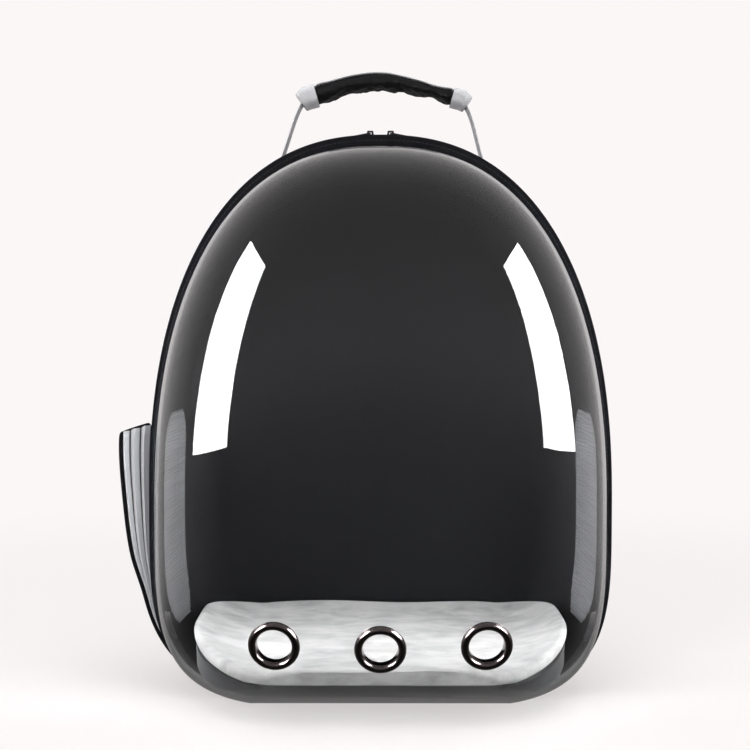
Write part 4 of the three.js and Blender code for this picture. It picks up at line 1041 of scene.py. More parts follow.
def vent_seat(x, z):
    step = 0.004
    slope_x = float(bubble_depth(x + step, z) - bubble_depth(x - step, z)) / (2 * step)
    slope_z = float(bubble_depth(x, z + step) - bubble_depth(x, z - step)) / (2 * step)
    return Vector((x, float(bubble_depth(x, z)), z)), Vector((slope_x, -1, slope_z)).normalized()


def drill(seat, out, radius):
    bpy.ops.object.select_all(action="DESELECT")
    bpy.ops.mesh.primitive_cylinder_add(
        vertices=96, radius=radius, depth=0.04, location=seat, rotation=out.to_track_quat("Z", "Y").to_euler()
    )
    bpy.ops.object.transform_apply(location=True, rotation=True, scale=True)
    return bpy.context.active_object


SEATS = {name: vent_seat(*place) for name, place in VENTS.items()}
for name, (seat, out) in SEATS.items():
    cut(bubble, drill(seat, out, BARREL_RADIUS + 0.0003))
print("bubble faces after drilling:", len(bubble.data.polygons))

# %% [markdown]
# An eyelet is thin metal rolled over at both ends, so a turned profile gives its exact form. Spin would do
# the same. A skin through turned rows is used, because the rows can be laid at the vent's tilt at once.

# %% Eyelets
ROLL_HEIGHT = 0.0032
BACK_HEIGHT = 0.0046


def eyelet_profile():
    """Radius and height, from the inner lip out over the roll, through the wall and round the washer."""
    middle = (RING_RADIUS + HOLE_RADIUS) / 2
    half = (RING_RADIUS - HOLE_RADIUS) / 2
    roll = [(middle - half * math.cos(turn), ROLL_HEIGHT * math.sin(turn))
            for turn in np.linspace(0, math.pi, 17)]
    under = [(RING_RADIUS - 0.0002, -0.0002), (BARREL_RADIUS + 0.0004, 0.0), (BARREL_RADIUS, -0.0004)]
    washer = [(BARREL_RADIUS, -0.0019), (RING_RADIUS - 0.0016, -0.0022), (RING_RADIUS - 0.001, -0.003),
              (RING_RADIUS - 0.0016, -BACK_HEIGHT + 0.0004), (HOLE_RADIUS + 0.0006, -BACK_HEIGHT),
              (HOLE_RADIUS, -BACK_HEIGHT + 0.0006)]
    return roll + under + washer + [roll[0]]


def make_eyelet(name):
    seat, out = SEATS[name]
    turn = out.to_track_quat("Z", "Y").to_matrix()
    angle = np.linspace(0, 2 * np.pi, 97)
    rows = []
    for radius, height in eyelet_profile():
        local = np.stack([radius * np.cos(angle), radius * np.sin(angle), np.full_like(angle, height)], 1)
        rows.append(local @ np.array(turn).T + np.array(seat))
    return give(skin(f"eyelet_{name}", rows), GUNMETAL, "gunmetal", f"vent_eyelet_{name}")


eyelets = [make_eyelet(name) for name in VENTS]
print("eyelets:", len(eyelets))

# %% [markdown]
# ## Windows
# A fine net fills each window and a bound frame covers its edge. The net is a grid laid on the shell's
# inner side and turned into strands by the Wireframe modifier, so light and sight pass between them. The
# frame is a flat rounded band that follows the opening.

# %% Nets
NET_PITCH = 0.0026
NET_STRAND = 0.0006
NET_OUTSIDE = -SHELL_WALL - 0.0009
NET_MARGIN = 0.006  # the net reaches this far under the window's binding
NET_CLOTH = cloth("grey_net", (0.15, 0.15, 0.16), (0.30, 0.30, 0.32), threads=3000.0, sheen=0.0)


def make_net(name, side):
    """Strands laid on the shell's inner side, with the corners outside the window's outline left out."""
    low_y, high_y = WINDOW_Y[0] - NET_MARGIN, WINDOW_Y[1] + NET_MARGIN
    low_z, high_z = WINDOW_Z[0] - NET_MARGIN, WINDOW_Z[1] + NET_MARGIN
    radius = WINDOW_CORNER + NET_MARGIN
    rows = []
    for k, y in enumerate(np.arange(low_y, high_y, NET_PITCH)):
        heights = np.arange(low_z, high_z, NET_PITCH) + (k % 2) * NET_PITCH / 2
        x = shell_x(y, heights, NET_OUTSIDE)
        rows.append(np.stack([side * x, np.full_like(x, y), heights], 1))
    net = skin(f"window_net_{name}", rows)
    grid = bmesh.new()
    grid.from_mesh(net.data)
    outside = []
    for face in grid.faces:
        middle = face.calc_center_median()
        over_y = max(low_y + radius - middle.y, middle.y - high_y + radius, 0)
        over_z = max(low_z + radius - middle.z, middle.z - high_z + radius, 0)
        if math.hypot(over_y, over_z) > radius:
            outside.append(face)
    bmesh.ops.delete(grid, geom=outside, context="FACES")
    grid.to_mesh(net.data)
    grid.free()
    apply_modifier(net, "WIREFRAME", thickness=NET_STRAND, use_replace=True, use_even_offset=False)
    return give(net, NET_CLOTH, "mesh", f"window_mesh_{name}")


nets = [make_net(name, side) for name, side in SIDES]
print("net faces:", [len(net.data.polygons) for net in nets])

# %% [markdown]
# ## Bands and tubes
# Webbing, cords, the handle's sleeve and the straps are all sections carried along a path. One function
# does it: at each point of the path it lays a squarish ring, wide one way and thin the other. A high power
# gives webbing its flat faces, and two gives a round cord.

# %% Tube and path helpers
def smooth_path(points, count):
    """A curve through points (Catmull-Rom by chord length), as an evenly spaced array."""
    points = np.array(points, dtype=float)
    knots = np.concatenate([[0], np.cumsum(np.linalg.norm(np.diff(points, axis=0), axis=1) ** 0.5)])
    slopes = np.gradient(points, knots, axis=0)
    at = np.linspace(0, knots[-1], 12 * count)
    k = np.clip(np.searchsorted(knots, at) - 1, 0, len(knots) - 2)
    width = knots[k + 1] - knots[k]
    s = ((at - knots[k]) / width)[:, None]
    width = width[:, None]
    curve = ((2 * s**3 - 3 * s**2 + 1) * points[k] + (s**3 - 2 * s**2 + s) * width * slopes[k]
             + (3 * s**2 - 2 * s**3) * points[k + 1] + (s**3 - s**2) * width * slopes[k + 1])
    return even_along(curve, count)


def even_along(curve, count):
    length = np.concatenate([[0], np.cumsum(np.linalg.norm(np.diff(curve, axis=0), axis=1))])
    even = np.linspace(0, length[-1], count)
    return np.stack([np.interp(even, length, curve[:, axis]) for axis in range(3)], 1)


def unit(vectors):
    return vectors / np.maximum(np.linalg.norm(vectors, axis=-1, keepdims=True), 1e-12)


def tube(name, path, wide, widths, thicks, power=2.0, sides=20, closed=False):
    """A closed skin of squarish sections along a path. wide is the way that their width runs."""
    path = np.array(path, dtype=float)
    if closed:
        ahead = unit(np.roll(path, -1, 0) - np.roll(path, 1, 0))
    else:
        ahead = unit(np.gradient(path, axis=0))
    wide = np.broadcast_to(np.array(wide, dtype=float), path.shape)
    wide = unit(wide - (wide * ahead).sum(1)[:, None] * ahead)
    up = np.cross(ahead, wide)
    widths = np.broadcast_to(widths, len(path))[:, None, None]
    thicks = np.broadcast_to(thicks, len(path))[:, None, None]
    angle = np.linspace(0, 2 * np.pi, sides + 1)
    across = (np.sign(np.cos(angle)) * np.abs(np.cos(angle)) ** (2 / power))[None, :, None]
    over = (np.sign(np.sin(angle)) * np.abs(np.sin(angle)) ** (2 / power))[None, :, None]
    rows = path[:, None, :] + wide[:, None, :] * across * widths / 2 + up[:, None, :] * over * thicks / 2
    if closed:
        rows = np.concatenate([rows, rows[:1]])
    else:
        first = np.broadcast_to(path[0], rows[0].shape)[None]
        last = np.broadcast_to(path[-1], rows[0].shape)[None]
        rows = np.concatenate([first, path[0] + 0.94 * (rows[:1] - path[0]), rows,
                               path[-1] + 0.94 * (rows[-1:] - path[-1]), last])
    return skin(name, rows)


def window_loop(margin, outside, side, count=160):
    """A closed path along a window's rounded outline, laid on the shell."""
    radius = WINDOW_CORNER + margin
    low_y, high_y = WINDOW_Y[0] - margin + radius, WINDOW_Y[1] + margin - radius
    low_z, high_z = WINDOW_Z[0] - margin + radius, WINDOW_Z[1] + margin - radius
    corners = [(high_y, high_z, 0), (low_y, high_z, 90), (low_y, low_z, 180), (high_y, low_z, 270)]
    flat = []
    for y, z, start in corners:
        for turn in np.radians(np.linspace(start, start + 90, 13)):
            flat.append((0.0, y + radius * math.cos(turn), z + radius * math.sin(turn)))
    loop = even_along(np.array(flat + flat[:1]), count + 1)[:-1]
    for point in loop:
        point[0] = side * float(shell_x(point[1], point[2], outside))
    return loop


# %% [markdown]
# The window's raw edge is hidden under a folded binding. It's a closed tube round the opening, lying flat
# on the shell, with a row of stitches along its outer side.

# %% Window frames
def make_window_frame(name, side):
    loop = window_loop(0.003, 0.0011, side)
    outward = np.zeros_like(loop)
    outward[:, 0] = side
    ahead = unit(np.roll(loop, -1, 0) - np.roll(loop, 1, 0))
    frame = tube(f"window_frame_{name}", loop, np.cross(ahead, outward), 0.0064, 0.0019, 3, 14, closed=True)
    give(frame, BINDING, "trim", f"window_trim_{name}")
    seam = window_loop(0.0046, 0.0022, side)
    stitch_row(f"window_stitches_{name}", np.concatenate([seam, seam[:1]]), (side, 0, 0))
    return frame


frames = [make_window_frame(name, side) for name, side in SIDES]
print("window frames:", len(frames))

# %% [markdown]
# ## The pleated pocket
# On the left side a pocket opens like a fan. Two silver gussets are folded into pleats that meet at the
# bottom, and a black panel closes the outside, edged with a black cord. Each gusset is a grid whose
# columns zigzag in depth, with the creases slightly rounded. The zigzag grows with the pocket's bulge, so
# the stripes converge at the foot as they do in the photograph.

# %% Pocket gussets
POCKET_BOTTOM = 0.015
POCKET_TALL = 0.184
POCKET_FRONT = RIM_Y + 0.016
POCKET_BACK = POCKET_FRONT + 0.104
POCKET_BULGE = 0.027
POCKET_SLANT = 0.006
PLEATS = 3
PLEAT_DEPTH = 0.008
EDGING = 0.003
BULGE_HEIGHTS = (0, 0.11, 0.28, 0.37, 0.45, 0.6, 0.76, 0.9, 1)
BULGE_SHARES = (0.2, 0.26, 0.37, 0.43, 0.63, 0.78, 0.88, 0.97, 1)
BULGE_EASE = (-0.05, -0.02, 0.02, 0.05)
CREASE_SHADE_START = 0.62  # where the painted crease shade begins, from the pleat's outer edge to its inner crease
CREASE_SHADE_FULL = 0.85


def eased(share, shares, values, steps):
    """A table's value at a share. Four nearby readings are averaged, which rounds its corners."""
    return sum(np.interp(np.clip(share + step, 0, 1), shares, values) for step in steps) / len(steps)


def pocket_bulge(share):
    """How far the pocket stands off, as a share of its most, by height."""
    return eased(share, BULGE_HEIGHTS, BULGE_SHARES, BULGE_EASE)


def pocket_points(depths, heights, outside):
    """Points off the shell's left side, for arrays of depths, heights and distances."""
    points = np.empty((*depths.shape, 3))
    for index in np.ndindex(depths.shape):
        x = -float(shell_x(depths[index], heights[index])) - outside[index]
        points[index] = (x, depths[index], heights[index])
    return points


def make_gusset(name, depth, inward):
    tall, folds, fine = 26, 2 * PLEATS, 6
    height = np.linspace(0, 1, tall)[:, None]
    share = np.linspace(0, 1, folds * fine + 1)[None, :]
    bulge = pocket_bulge(height)
    reach = bulge * POCKET_BULGE - EDGING - 0.0006
    outside = 0.0004 + (reach - 0.0004) * share
    wave = 1 - np.abs((share * folds) % 2 - 1)
    crease = 0.75 * wave + 0.25 * (0.5 - 0.5 * np.cos(np.pi * wave))
    depths = depth + inward * (0.0008 + crease * PLEAT_DEPTH * bulge)
    heights = POCKET_BOTTOM + height * (POCKET_TALL - POCKET_SLANT * share)
    heights = heights + 0.0012 * (0.5 - wave) * bulge
    rows = pocket_points(depths, heights, outside)
    gusset = skin(f"pocket_pleats_{name}", rows)
    creases = np.broadcast_to(wave, rows.shape[:2]).reshape(-1).astype(np.float32)
    gusset.data.attributes.new("crease", "FLOAT", "POINT").data.foreach_set("value", creases)
    solidify(gusset, 0.0009, offset=0)
    return give(gusset, PLEAT_CLOTH, "silver", f"pocket_gusset_{name}")


def pleat_cloth():
    """The silver cloth, with painted shade darkening it towards the inner creases."""
    material = SILVER.copy()
    material.name = "pleated_silver_painted_shade"
    tree = material.node_tree
    shader = tree.nodes["Principled BSDF"]
    silver = shader.inputs["Base Color"].links[0].from_socket
    crease = tree.nodes.new("ShaderNodeAttribute")
    crease.attribute_name = "crease"
    # painted shade: the silver is mixed towards near black at each inner crease
    edge = smooth_range(tree, crease.outputs["Fac"], CREASE_SHADE_START, CREASE_SHADE_FULL)
    tree.links.new(mixed(tree, edge, silver, (0.02, 0.02, 0.022)), shader.inputs["Base Color"])
    return material


PLEAT_CLOTH = pleat_cloth()
for name, depth, inward in (("front", POCKET_FRONT, 1), ("back", POCKET_BACK, -1)):
    make_gusset(name, depth, inward)

# %% [markdown]
# The panel is one stretched sheet between the gussets, a little crowned by what the pocket holds. Its edge
# is piped, so a closed cord follows the panel's outline, with its corners averaged until they are round.

# %% Pocket panel and edging
def slab_points(shares, heights, level, crown, margin):
    """Points of the pocket's outer side: shares of its depth, shares of its height, distance off it."""
    depths = POCKET_FRONT + margin + shares * (POCKET_BACK - POCKET_FRONT - 2 * margin)
    tall = POCKET_TALL - POCKET_SLANT
    z = POCKET_BOTTOM + margin + heights * (tall - 2 * margin)
    bulge = pocket_bulge(heights)
    outside = bulge * POCKET_BULGE + level + crown * bulge * np.sin(np.pi * shares)
    return pocket_points(depths, z, outside)


def make_panel():
    heights, shares = np.meshgrid(np.linspace(0, 1, 30), np.linspace(0, 1, 22), indexing="ij")
    rows = slab_points(shares, heights, -0.0014, 0.003, EDGING * 0.6)
    panel = skin("pocket_panel_cloth", rows, outward=False)
    solidify(panel, 0.0016, offset=0)
    return give(panel, BLACK_CLOTH, "shell", "pocket_panel")


def edging_loop(count=220, rounds=3):
    """The panel's outline as a closed path. Each round of averaging softens its corners."""
    steps = np.linspace(0, 1, 30)
    sides = [(steps, 0 * steps), (0 * steps + 1, steps), (1 - steps, 0 * steps + 1), (0 * steps, 1 - steps)]
    shares = np.concatenate([s for s, _ in sides])
    heights = np.concatenate([h for _, h in sides])
    loop = slab_points(shares, heights, -EDGING / 2, 0, EDGING / 2)
    loop = even_along(np.concatenate([loop, loop[:1]]), count + 1)[:-1]
    for _ in range(rounds):
        loop = (np.roll(loop, 1, 0) + 2 * loop + np.roll(loop, -1, 0)) / 4
    return loop


panel = make_panel()
edging = tube("pocket_cord", edging_loop(), (1, 0.3, 0.2), EDGING, EDGING, 2.2, 12, closed=True)
give(edging, BINDING, "trim", "pocket_edging")
print("pocket panel faces:", len(panel.data.polygons))

# %% [markdown]
# ## The carrying handle
# A flat silver strap rises from the crown, runs over a soft black sleeve and comes down again. The sleeve
# is a padded tube of thin cloth, gathered so that it wrinkles, and a bound silver cap holds each end. The
# same table of sections as the solid's gives its crest and its thickness along the grip.

# %% Handle path
HANDLE_Y = RIM_Y + 0.104
HANDLE_SHIFT = 0.003
FOOT_SPREAD = 0.088
GRIP_HALF = 0.0525
HANDLE_RISE = 0.100
STRAP_WIDE = 0.026
STRAP_THICK = 0.0013
GRIP_WIDE = 0.031
GRIP_THICK = 0.014
CAP_LONG = 0.012
CAP_DROP = 0.015
GRIP_ALONG = (-1, -0.8, -0.58, -0.42, -0.18, 0.06, 0.28, 0.52, 0.75, 0.9, 1)
GRIP_CREST = (0.906, 0.935, 0.967, 0.985, 1, 0.996, 0.972, 0.94, 0.9, 0.885, 0.876)
GRIP_BODY = (0.94, 0.82, 0.62, 0.7, 0.74, 0.72, 0.54, 0.55, 0.34, 0.66, 0.75)
FOOT_Z = float(shell_z(HANDLE_Y, FOOT_SPREAD))


def grip_top(along):
    return FOOT_Z + HANDLE_RISE * np.interp(along, GRIP_ALONG, GRIP_CREST)


def handle_path(count=160):
    """From one stitched foot, up over the grip and down to the other foot."""
    def end(side):
        corner = np.array([HANDLE_SHIFT + side * GRIP_HALF, HANDLE_Y, grip_top(side) - STRAP_THICK / 2])
        shoulder = corner + (side * CAP_LONG, 0, -CAP_DROP)
        foot = np.array([side * FOOT_SPREAD, HANDLE_Y, FOOT_Z + 0.003])
        lying = [(side * x, HANDLE_Y, float(shell_z(HANDLE_Y, x, 0.0011)))
                 for x in (FOOT_SPREAD + 0.004, FOOT_SPREAD + 0.012, FOOT_SPREAD + 0.0225)]
        return [shoulder, 0.5 * (shoulder + foot), foot, *lying]
    tops = [(HANDLE_SHIFT + a * GRIP_HALF, HANDLE_Y, grip_top(a) - STRAP_THICK / 2) for a in GRIP_ALONG]
    return smooth_path([*end(-1)[::-1], *tops, *end(1)], count)


HANDLE = handle_path()
handle_strap = tube("handle_webbing", HANDLE, (0, 1, 0), STRAP_WIDE, STRAP_THICK, 5, 20)
give(handle_strap, SILVER, "silver", "handle_strap")
print("handle strap:", round(1000 * sum(np.linalg.norm(np.diff(HANDLE, axis=0), axis=1))), "mm long")

# %% [markdown]
# ## Padded cloth by simulation
# A stuffed piece isn't smooth: the cloth swells between its seams and gathers small folds. Blender's Cloth
# gives that. The piece is remeshed so that its faces are even, inflated a little without gravity, and held
# within a few millimetres of its pattern, because a real cover can't stretch far.

# %% Cloth puffing
CLOTH_FRAMES = 20
CLOTH_TENSION = 15.0


def puff(piece, voxel, pressure, most, shrink=0.0):
    """Inflates a closed piece as cloth, moving no point further than a given distance."""
    select_only(piece)
    apply_modifier(piece, "REMESH", mode="VOXEL", voxel_size=voxel)
    bpy.ops.object.shade_smooth()
    before = np.array([v.co[:] for v in piece.data.vertices])
    cloth_modifier = piece.modifiers.new("cloth", "CLOTH")
    settings = cloth_modifier.settings
    settings.quality = 5
    settings.mass = 0.3
    settings.tension_stiffness = CLOTH_TENSION
    settings.compression_stiffness = CLOTH_TENSION
    settings.shear_stiffness = CLOTH_TENSION / 2
    settings.bending_stiffness = 0.5
    settings.use_pressure = True
    settings.uniform_pressure_force = pressure
    settings.shrink_min = shrink
    settings.effector_weights.gravity = 0
    cloth_modifier.point_cache.frame_start = 1
    cloth_modifier.point_cache.frame_end = CLOTH_FRAMES
    scene = bpy.context.scene
    for step in range(1, CLOTH_FRAMES + 1):
        scene.frame_set(step)
    bpy.ops.object.modifier_apply(modifier=cloth_modifier.name)
    after = np.array([v.co[:] for v in piece.data.vertices])
    moved = after - before
    length = np.linalg.norm(moved, axis=1)[:, None]
    after = before + moved * np.minimum(1, most / np.maximum(length, 1e-9))
    piece.data.vertices.foreach_set("co", after.reshape(-1))
    piece.data.update()
    scene.frame_set(1)
    subdivide(piece)
    bpy.ops.object.shade_smooth()
    print(piece.name, "moved", round(float(length.mean()) * 1000, 2), "mm on average")
    return piece


# %% [markdown]
# The sleeve is gathered round the grip, so its creases run slantwise. They are set in the pattern first,
# by a few crossing waves, and the Cloth step then rounds them as stuffing does. A tight cap at each end
# hides where the cloth is sewn.

# %% Sleeve and caps
CAP_WALL = 0.0013


def make_sleeve():
    """The grip's cover: oval sections, with soft diagonal creases where the cloth is gathered."""
    along = np.linspace(-1, 1, 90)
    body = np.interp(along, GRIP_ALONG, GRIP_BODY)
    body = np.convolve(np.pad(body, 3, mode="edge"), np.ones(7) / 7, mode="valid")
    thick = GRIP_THICK * body * (0.92 + 0.2 * (1 - along**4))
    path = np.stack([
        HANDLE_SHIFT + along * GRIP_HALF,
        np.full_like(along, HANDLE_Y),
        grip_top(along) - STRAP_THICK - 0.0006 - thick / 2,
    ], 1)
    sleeve = tube("handle_sleeve", path, (0, 1, 0), GRIP_WIDE * 0.96, thick, 2.6, 56)
    points = np.array([v.co[:] for v in sleeve.data.vertices])
    x, y, z = (points * 1000).T
    low = np.clip((np.interp(points[:, 0], path[:, 0], path[:, 2]) * 1000 - z + 3) / 6, 0, 1)
    folds = np.sin(x * 0.42 + y * 0.30 + 2.2 * np.sin(x * 0.11)) + 0.7 * np.sin(x * 0.83 - y * 0.46 + 1.3)
    folds += 0.5 * np.sin(x * 0.27 + y * 0.9)
    points[:, 2] -= low * 0.0005 * folds
    points[:, 1] += np.sign(y - HANDLE_Y * 1000) * 0.00035 * folds
    sleeve.data.vertices.foreach_set("co", points.reshape(-1))
    puff(sleeve, 0.0019, 3.0, 0.0011, shrink=-0.06)
    return give(sleeve, SLEEVE_CLOTH, "shell", "handle_grip")


def make_cap(name, side):
    """A bound cap: an oval collar that tapers to where the strap leaves it."""
    start = HANDLE_SHIFT + side * (GRIP_HALF + 0.0002)
    top = float(grip_top(side)) + CAP_WALL
    body = GRIP_BODY[0] if side < 0 else GRIP_BODY[-1]
    tall = GRIP_THICK * body + STRAP_THICK + CLEARANCE + 2 * CAP_WALL
    wide = GRIP_WIDE + 2 * CAP_WALL
    share = np.array([0, 0.01, 0.05, 0.2, 0.4, 0.6, 0.8, 0.93, 0.985, 1])
    heights = tall * np.array([0.93, 0.97, 1, 1, 1, 1, 0.92, 0.86, 0.82, 0.78])
    widths = wide * np.array([0.96, 0.985, 1, 1, 1, 1, 0.98, 0.95, 0.93, 0.91])
    drop = CAP_DROP * np.interp(share, (0, 0.6, 1), (0, 0.14, 0.38))
    path = np.stack([start + side * share * CAP_LONG, np.full(10, HANDLE_Y), top - drop - tall / 2], 1)
    cap = tube(f"handle_binding_{name}", path, (0, 1, 0), widths, heights, 3.6, 64)
    return give(cap, SILVER, "silver", f"handle_cap_{name}")


def solid_weave(name, dark, light, scale, depth, roughness, sheen):
    """Cloth for puffed pieces, which keep no UV map: its grain is a fine lattice in space."""
    material, tree, shader = blank_material(name)
    place = coordinates(tree, "Object")
    wear = place_group(tree, "wear", Vector=place, Dark=dark, Light=light, Patch=CLOTH_PATCHES)
    tree.links.new(wear["Color"], shader.inputs["Base Color"])
    split = tree.nodes.new("ShaderNodeSeparateXYZ")
    tree.links.new(place, split.inputs[0])
    waves = []
    for first, second in (("X", "Z"), ("X", "Y"), ("Y", "Z")):
        both = maths(tree, "ADD", split.outputs[first], split.outputs[second])
        waves.append(maths(tree, "SINE", maths(tree, "MULTIPLY", both, scale)))
    lattice = maths(tree, "ADD", maths(tree, "ADD", waves[0], waves[1]), waves[2])
    rough = maths(tree, "ADD", roughness - 0.06, maths(tree, "MULTIPLY", wear["Flecks"], 0.12))
    tree.links.new(rough, shader.inputs["Roughness"])
    shader.inputs["Specular IOR Level"].default_value = CLOTH_SHINE
    shader.inputs["Sheen Weight"].default_value = sheen
    bump(tree, shader, maths(tree, "ADD", lattice, wear["Flecks"]), 0.5, depth)
    return material


SLEEVE_CLOTH = solid_weave(
    "sleeve_cloth", (0.003, 0.003, 0.0035), (0.012, 0.012, 0.014), 5200.0, 0.00006, roughness=0.5, sheen=0.05
)
sleeve = make_sleeve()
for name, side in SIDES:
    make_cap(name, side)
print("sleeve faces:", len(sleeve.data.polygons))

# %% [markdown]
# ## Small moulded pieces
# Buckles, sliders, pull tabs and patches already have their true shape in the solids. Only their edges are
# too sharp. Each is copied, its loose triangles are merged, its edges are bevelled, and the copy takes the
# solid's place.

# %% Rounded copies
def dressed(node, name, material, slot, bevel, body=CARRIER):
    """A solid's own shape with rounded edges and a finish."""
    source = frame["nodes"][node]
    piece = bpy.data.objects.new(name, source.data.copy())
    bpy.context.collection.objects.link(piece)
    select_only(piece)
    bpy.ops.object.mode_set(mode="EDIT")
    bpy.ops.mesh.select_all(action="SELECT")
    bpy.ops.mesh.remove_doubles(threshold=0.00001)
    bpy.ops.mesh.dissolve_limited(angle_limit=math.radians(2))
    bpy.ops.object.mode_set(mode="OBJECT")
    sharp = math.radians(35)
    apply_modifier(piece, "BEVEL", width=bevel, segments=3, limit_method="ANGLE", angle_limit=sharp)
    bpy.ops.object.shade_smooth_by_angle(angle=math.radians(40))
    return give(piece, material, slot, node, body=body)


BLACK_METAL = hard("blackened_metal", (0.012, 0.012, 0.013), (0.05, 0.05, 0.054), 0.3, metallic=0.8)
for name, _ in SIDES:
    dressed(f"zip_slider_{name}", f"slider_{name}", BLACK_METAL, "plastic", 0.0003)
    dressed(f"zip_pull_{name}", f"pull_tab_{name}", BLACK_METAL, "plastic", 0.00025, f"pull_{name}")
    dressed(f"strap_buckle_{name}", f"buckle_{name}", BLACK_PLASTIC, "plastic", 0.0009)
print("sliders, pulls and buckles dressed")

# %% [markdown]
# ## The padded back
# The wearer's side has a foam panel covered with spacer mesh. The panel is a rounded slab on the outline.
# It's puffed as cloth, and the sewn channels are pressed into it afterwards, because the remesh would
# lose them.

# %% Back pad
PAD_FACE = 0.1013
PAD_BACK = 0.0903
PAD_INSETS = (0.052, 0.063, 0.043)
PAD_MIDDLE = 0.15
PAD_EDGE_SHAPE = (  # shares of the pad's thickness, and how far the edge is drawn in there
    (0.1, 0.15), (0.3, 0.02), (0.5, 0), (0.7, 0.1), (0.85, 0.35), (0.95, 0.7), (1, 1.2),
)
PAD_EDGE_DRAWN = 0.008
CHANNEL_HEIGHTS = (0.105, 0.170, 0.235)
CHANNEL_DEEP = 0.0032
CHANNEL_WIDE = 0.0032
SPINE_DEEP = 0.0026
SPINE_WIDE = 0.003
SPINE_X = 0.030
AIR_CLOTH = solid_weave(
    "spacer_mesh", (0.006, 0.006, 0.007), (0.03, 0.03, 0.033), 2300.0, 0.0003, roughness=0.85, sheen=0.15
)


def pad_ring(y, more):
    side, crown, base = (inset + more for inset in PAD_INSETS)
    return ring(y, side, crown, base, 200)


def channel_height(x, height):
    """A sewn channel's height across the pad: it dips a little in the middle."""
    return height + 0.9 * x * x


def make_pad():
    thick = PAD_FACE - PAD_BACK
    rows = [np.broadcast_to((0, PAD_BACK, PAD_MIDDLE), (201, 3))]
    rows += [pad_ring(PAD_BACK, 0.004 + s) for s in (0.04, 0.002)]
    rows += [pad_ring(PAD_BACK + thick * out, PAD_EDGE_DRAWN * drawn) for out, drawn in PAD_EDGE_SHAPE]
    middle = np.array([0, PAD_FACE, PAD_MIDDLE])
    rows += [middle + s * (rows[-1] - middle) for s in (0.9, 0.75, 0.6, 0.45, 0.3, 0.15, 0)]
    pad = skin("back_pad_mesh", rows)
    puff(pad, 0.0045, 4.0, 0.0022)
    points = np.array([v.co[:] for v in pad.data.vertices])
    face = np.clip((points[:, 1] - PAD_BACK - 0.5 * thick) / (0.4 * thick), 0, 1)
    for height in CHANNEL_HEIGHTS:
        off = points[:, 2] - channel_height(points[:, 0], height)
        points[:, 1] -= face * CHANNEL_DEEP * np.exp(-((off / CHANNEL_WIDE) ** 2))
    off = np.abs(points[:, 0]) - SPINE_X
    below = points[:, 2] < CHANNEL_HEIGHTS[-1]
    points[:, 1] -= face * SPINE_DEEP * np.exp(-((off / SPINE_WIDE) ** 2)) * below
    pad.data.vertices.foreach_set("co", points.reshape(-1))
    return give(pad, AIR_CLOTH, "padding", "back_pad")


pad = make_pad()
PAD_EDGE = pad_ring(PAD_BACK + 0.0035, -0.0012)[:-1]
pad_cord = tube("back_pad_cord", PAD_EDGE, (0, 1, 0), 0.0032, 0.0032, 2.0, 10, closed=True)
give(pad_cord, BINDING, "trim")
for number, height in enumerate(CHANNEL_HEIGHTS):
    across = np.linspace(-0.095, 0.095, 60)
    seam = np.stack([across, np.full_like(across, PAD_FACE - 0.0019), channel_height(across, height)], 1)
    stitch_row(f"back_pad_seam_{number + 1}", seam, (0, 1, 0))
print("back pad:", [round(v, 3) for v in pad.dimensions])

# %% [markdown]
# ## The shoulder straps
# Two padded straps hang from a webbing yoke near the pad's top. Each bows away from the back and narrows to
# its buckle. They are puffed like the pad, and a folded binding is sewn along each edge. The adjusting
# webbing runs from its patch up round the buckle's bar and down as a free tail.

# %% Shoulder straps
SHOULDER_LONG = 0.178
SHOULDER_WIDE = 0.056
SHOULDER_THICK = 0.009
SHOULDER_BOW = 0.032
SHOULDER_SPREAD = 0.036
SHOULDER_SPLAY = 0.034
YOKE_BOTTOM = 0.301
SHOULDER_TABLE = {
    "down": (0, 0.07, 0.2, 0.4, 0.62, 0.84, 0.96, 1),
    "out": (0, 0.03, 0.16, 0.45, 0.74, 0.95, 1, 1),
    "bow": (0, 0.24, 0.68, 1, 0.96, 0.76, 0.6, 0.56),
    "width": (0.84, 0.9, 1, 1, 1, 0.88, 0.66, 0.56),
    "body": (0.66, 1, 1, 1, 1, 1, 0.9, 0.6),
}
SHOULDER_EASE = (-0.04, -0.015, 0.015, 0.04)


def shoulder_column(name, down):
    """One column of the strap's table, by how far down the strap it is read."""
    return eased(down, SHOULDER_TABLE["down"], SHOULDER_TABLE[name], SHOULDER_EASE)


def shoulder_path(side, count=70):
    down = np.linspace(0, 1, count)
    body, bow = shoulder_column("body", down), shoulder_column("bow", down)
    x = side * (SHOULDER_SPREAD + shoulder_column("out", down) * SHOULDER_SPLAY)
    y = PAD_FACE + CLEARANCE + SHOULDER_THICK * body / 2 + bow * SHOULDER_BOW
    z = YOKE_BOTTOM - CLEARANCE - down * SHOULDER_LONG
    return np.stack([x, y, z], 1), SHOULDER_WIDE * shoulder_column("width", down), SHOULDER_THICK * body


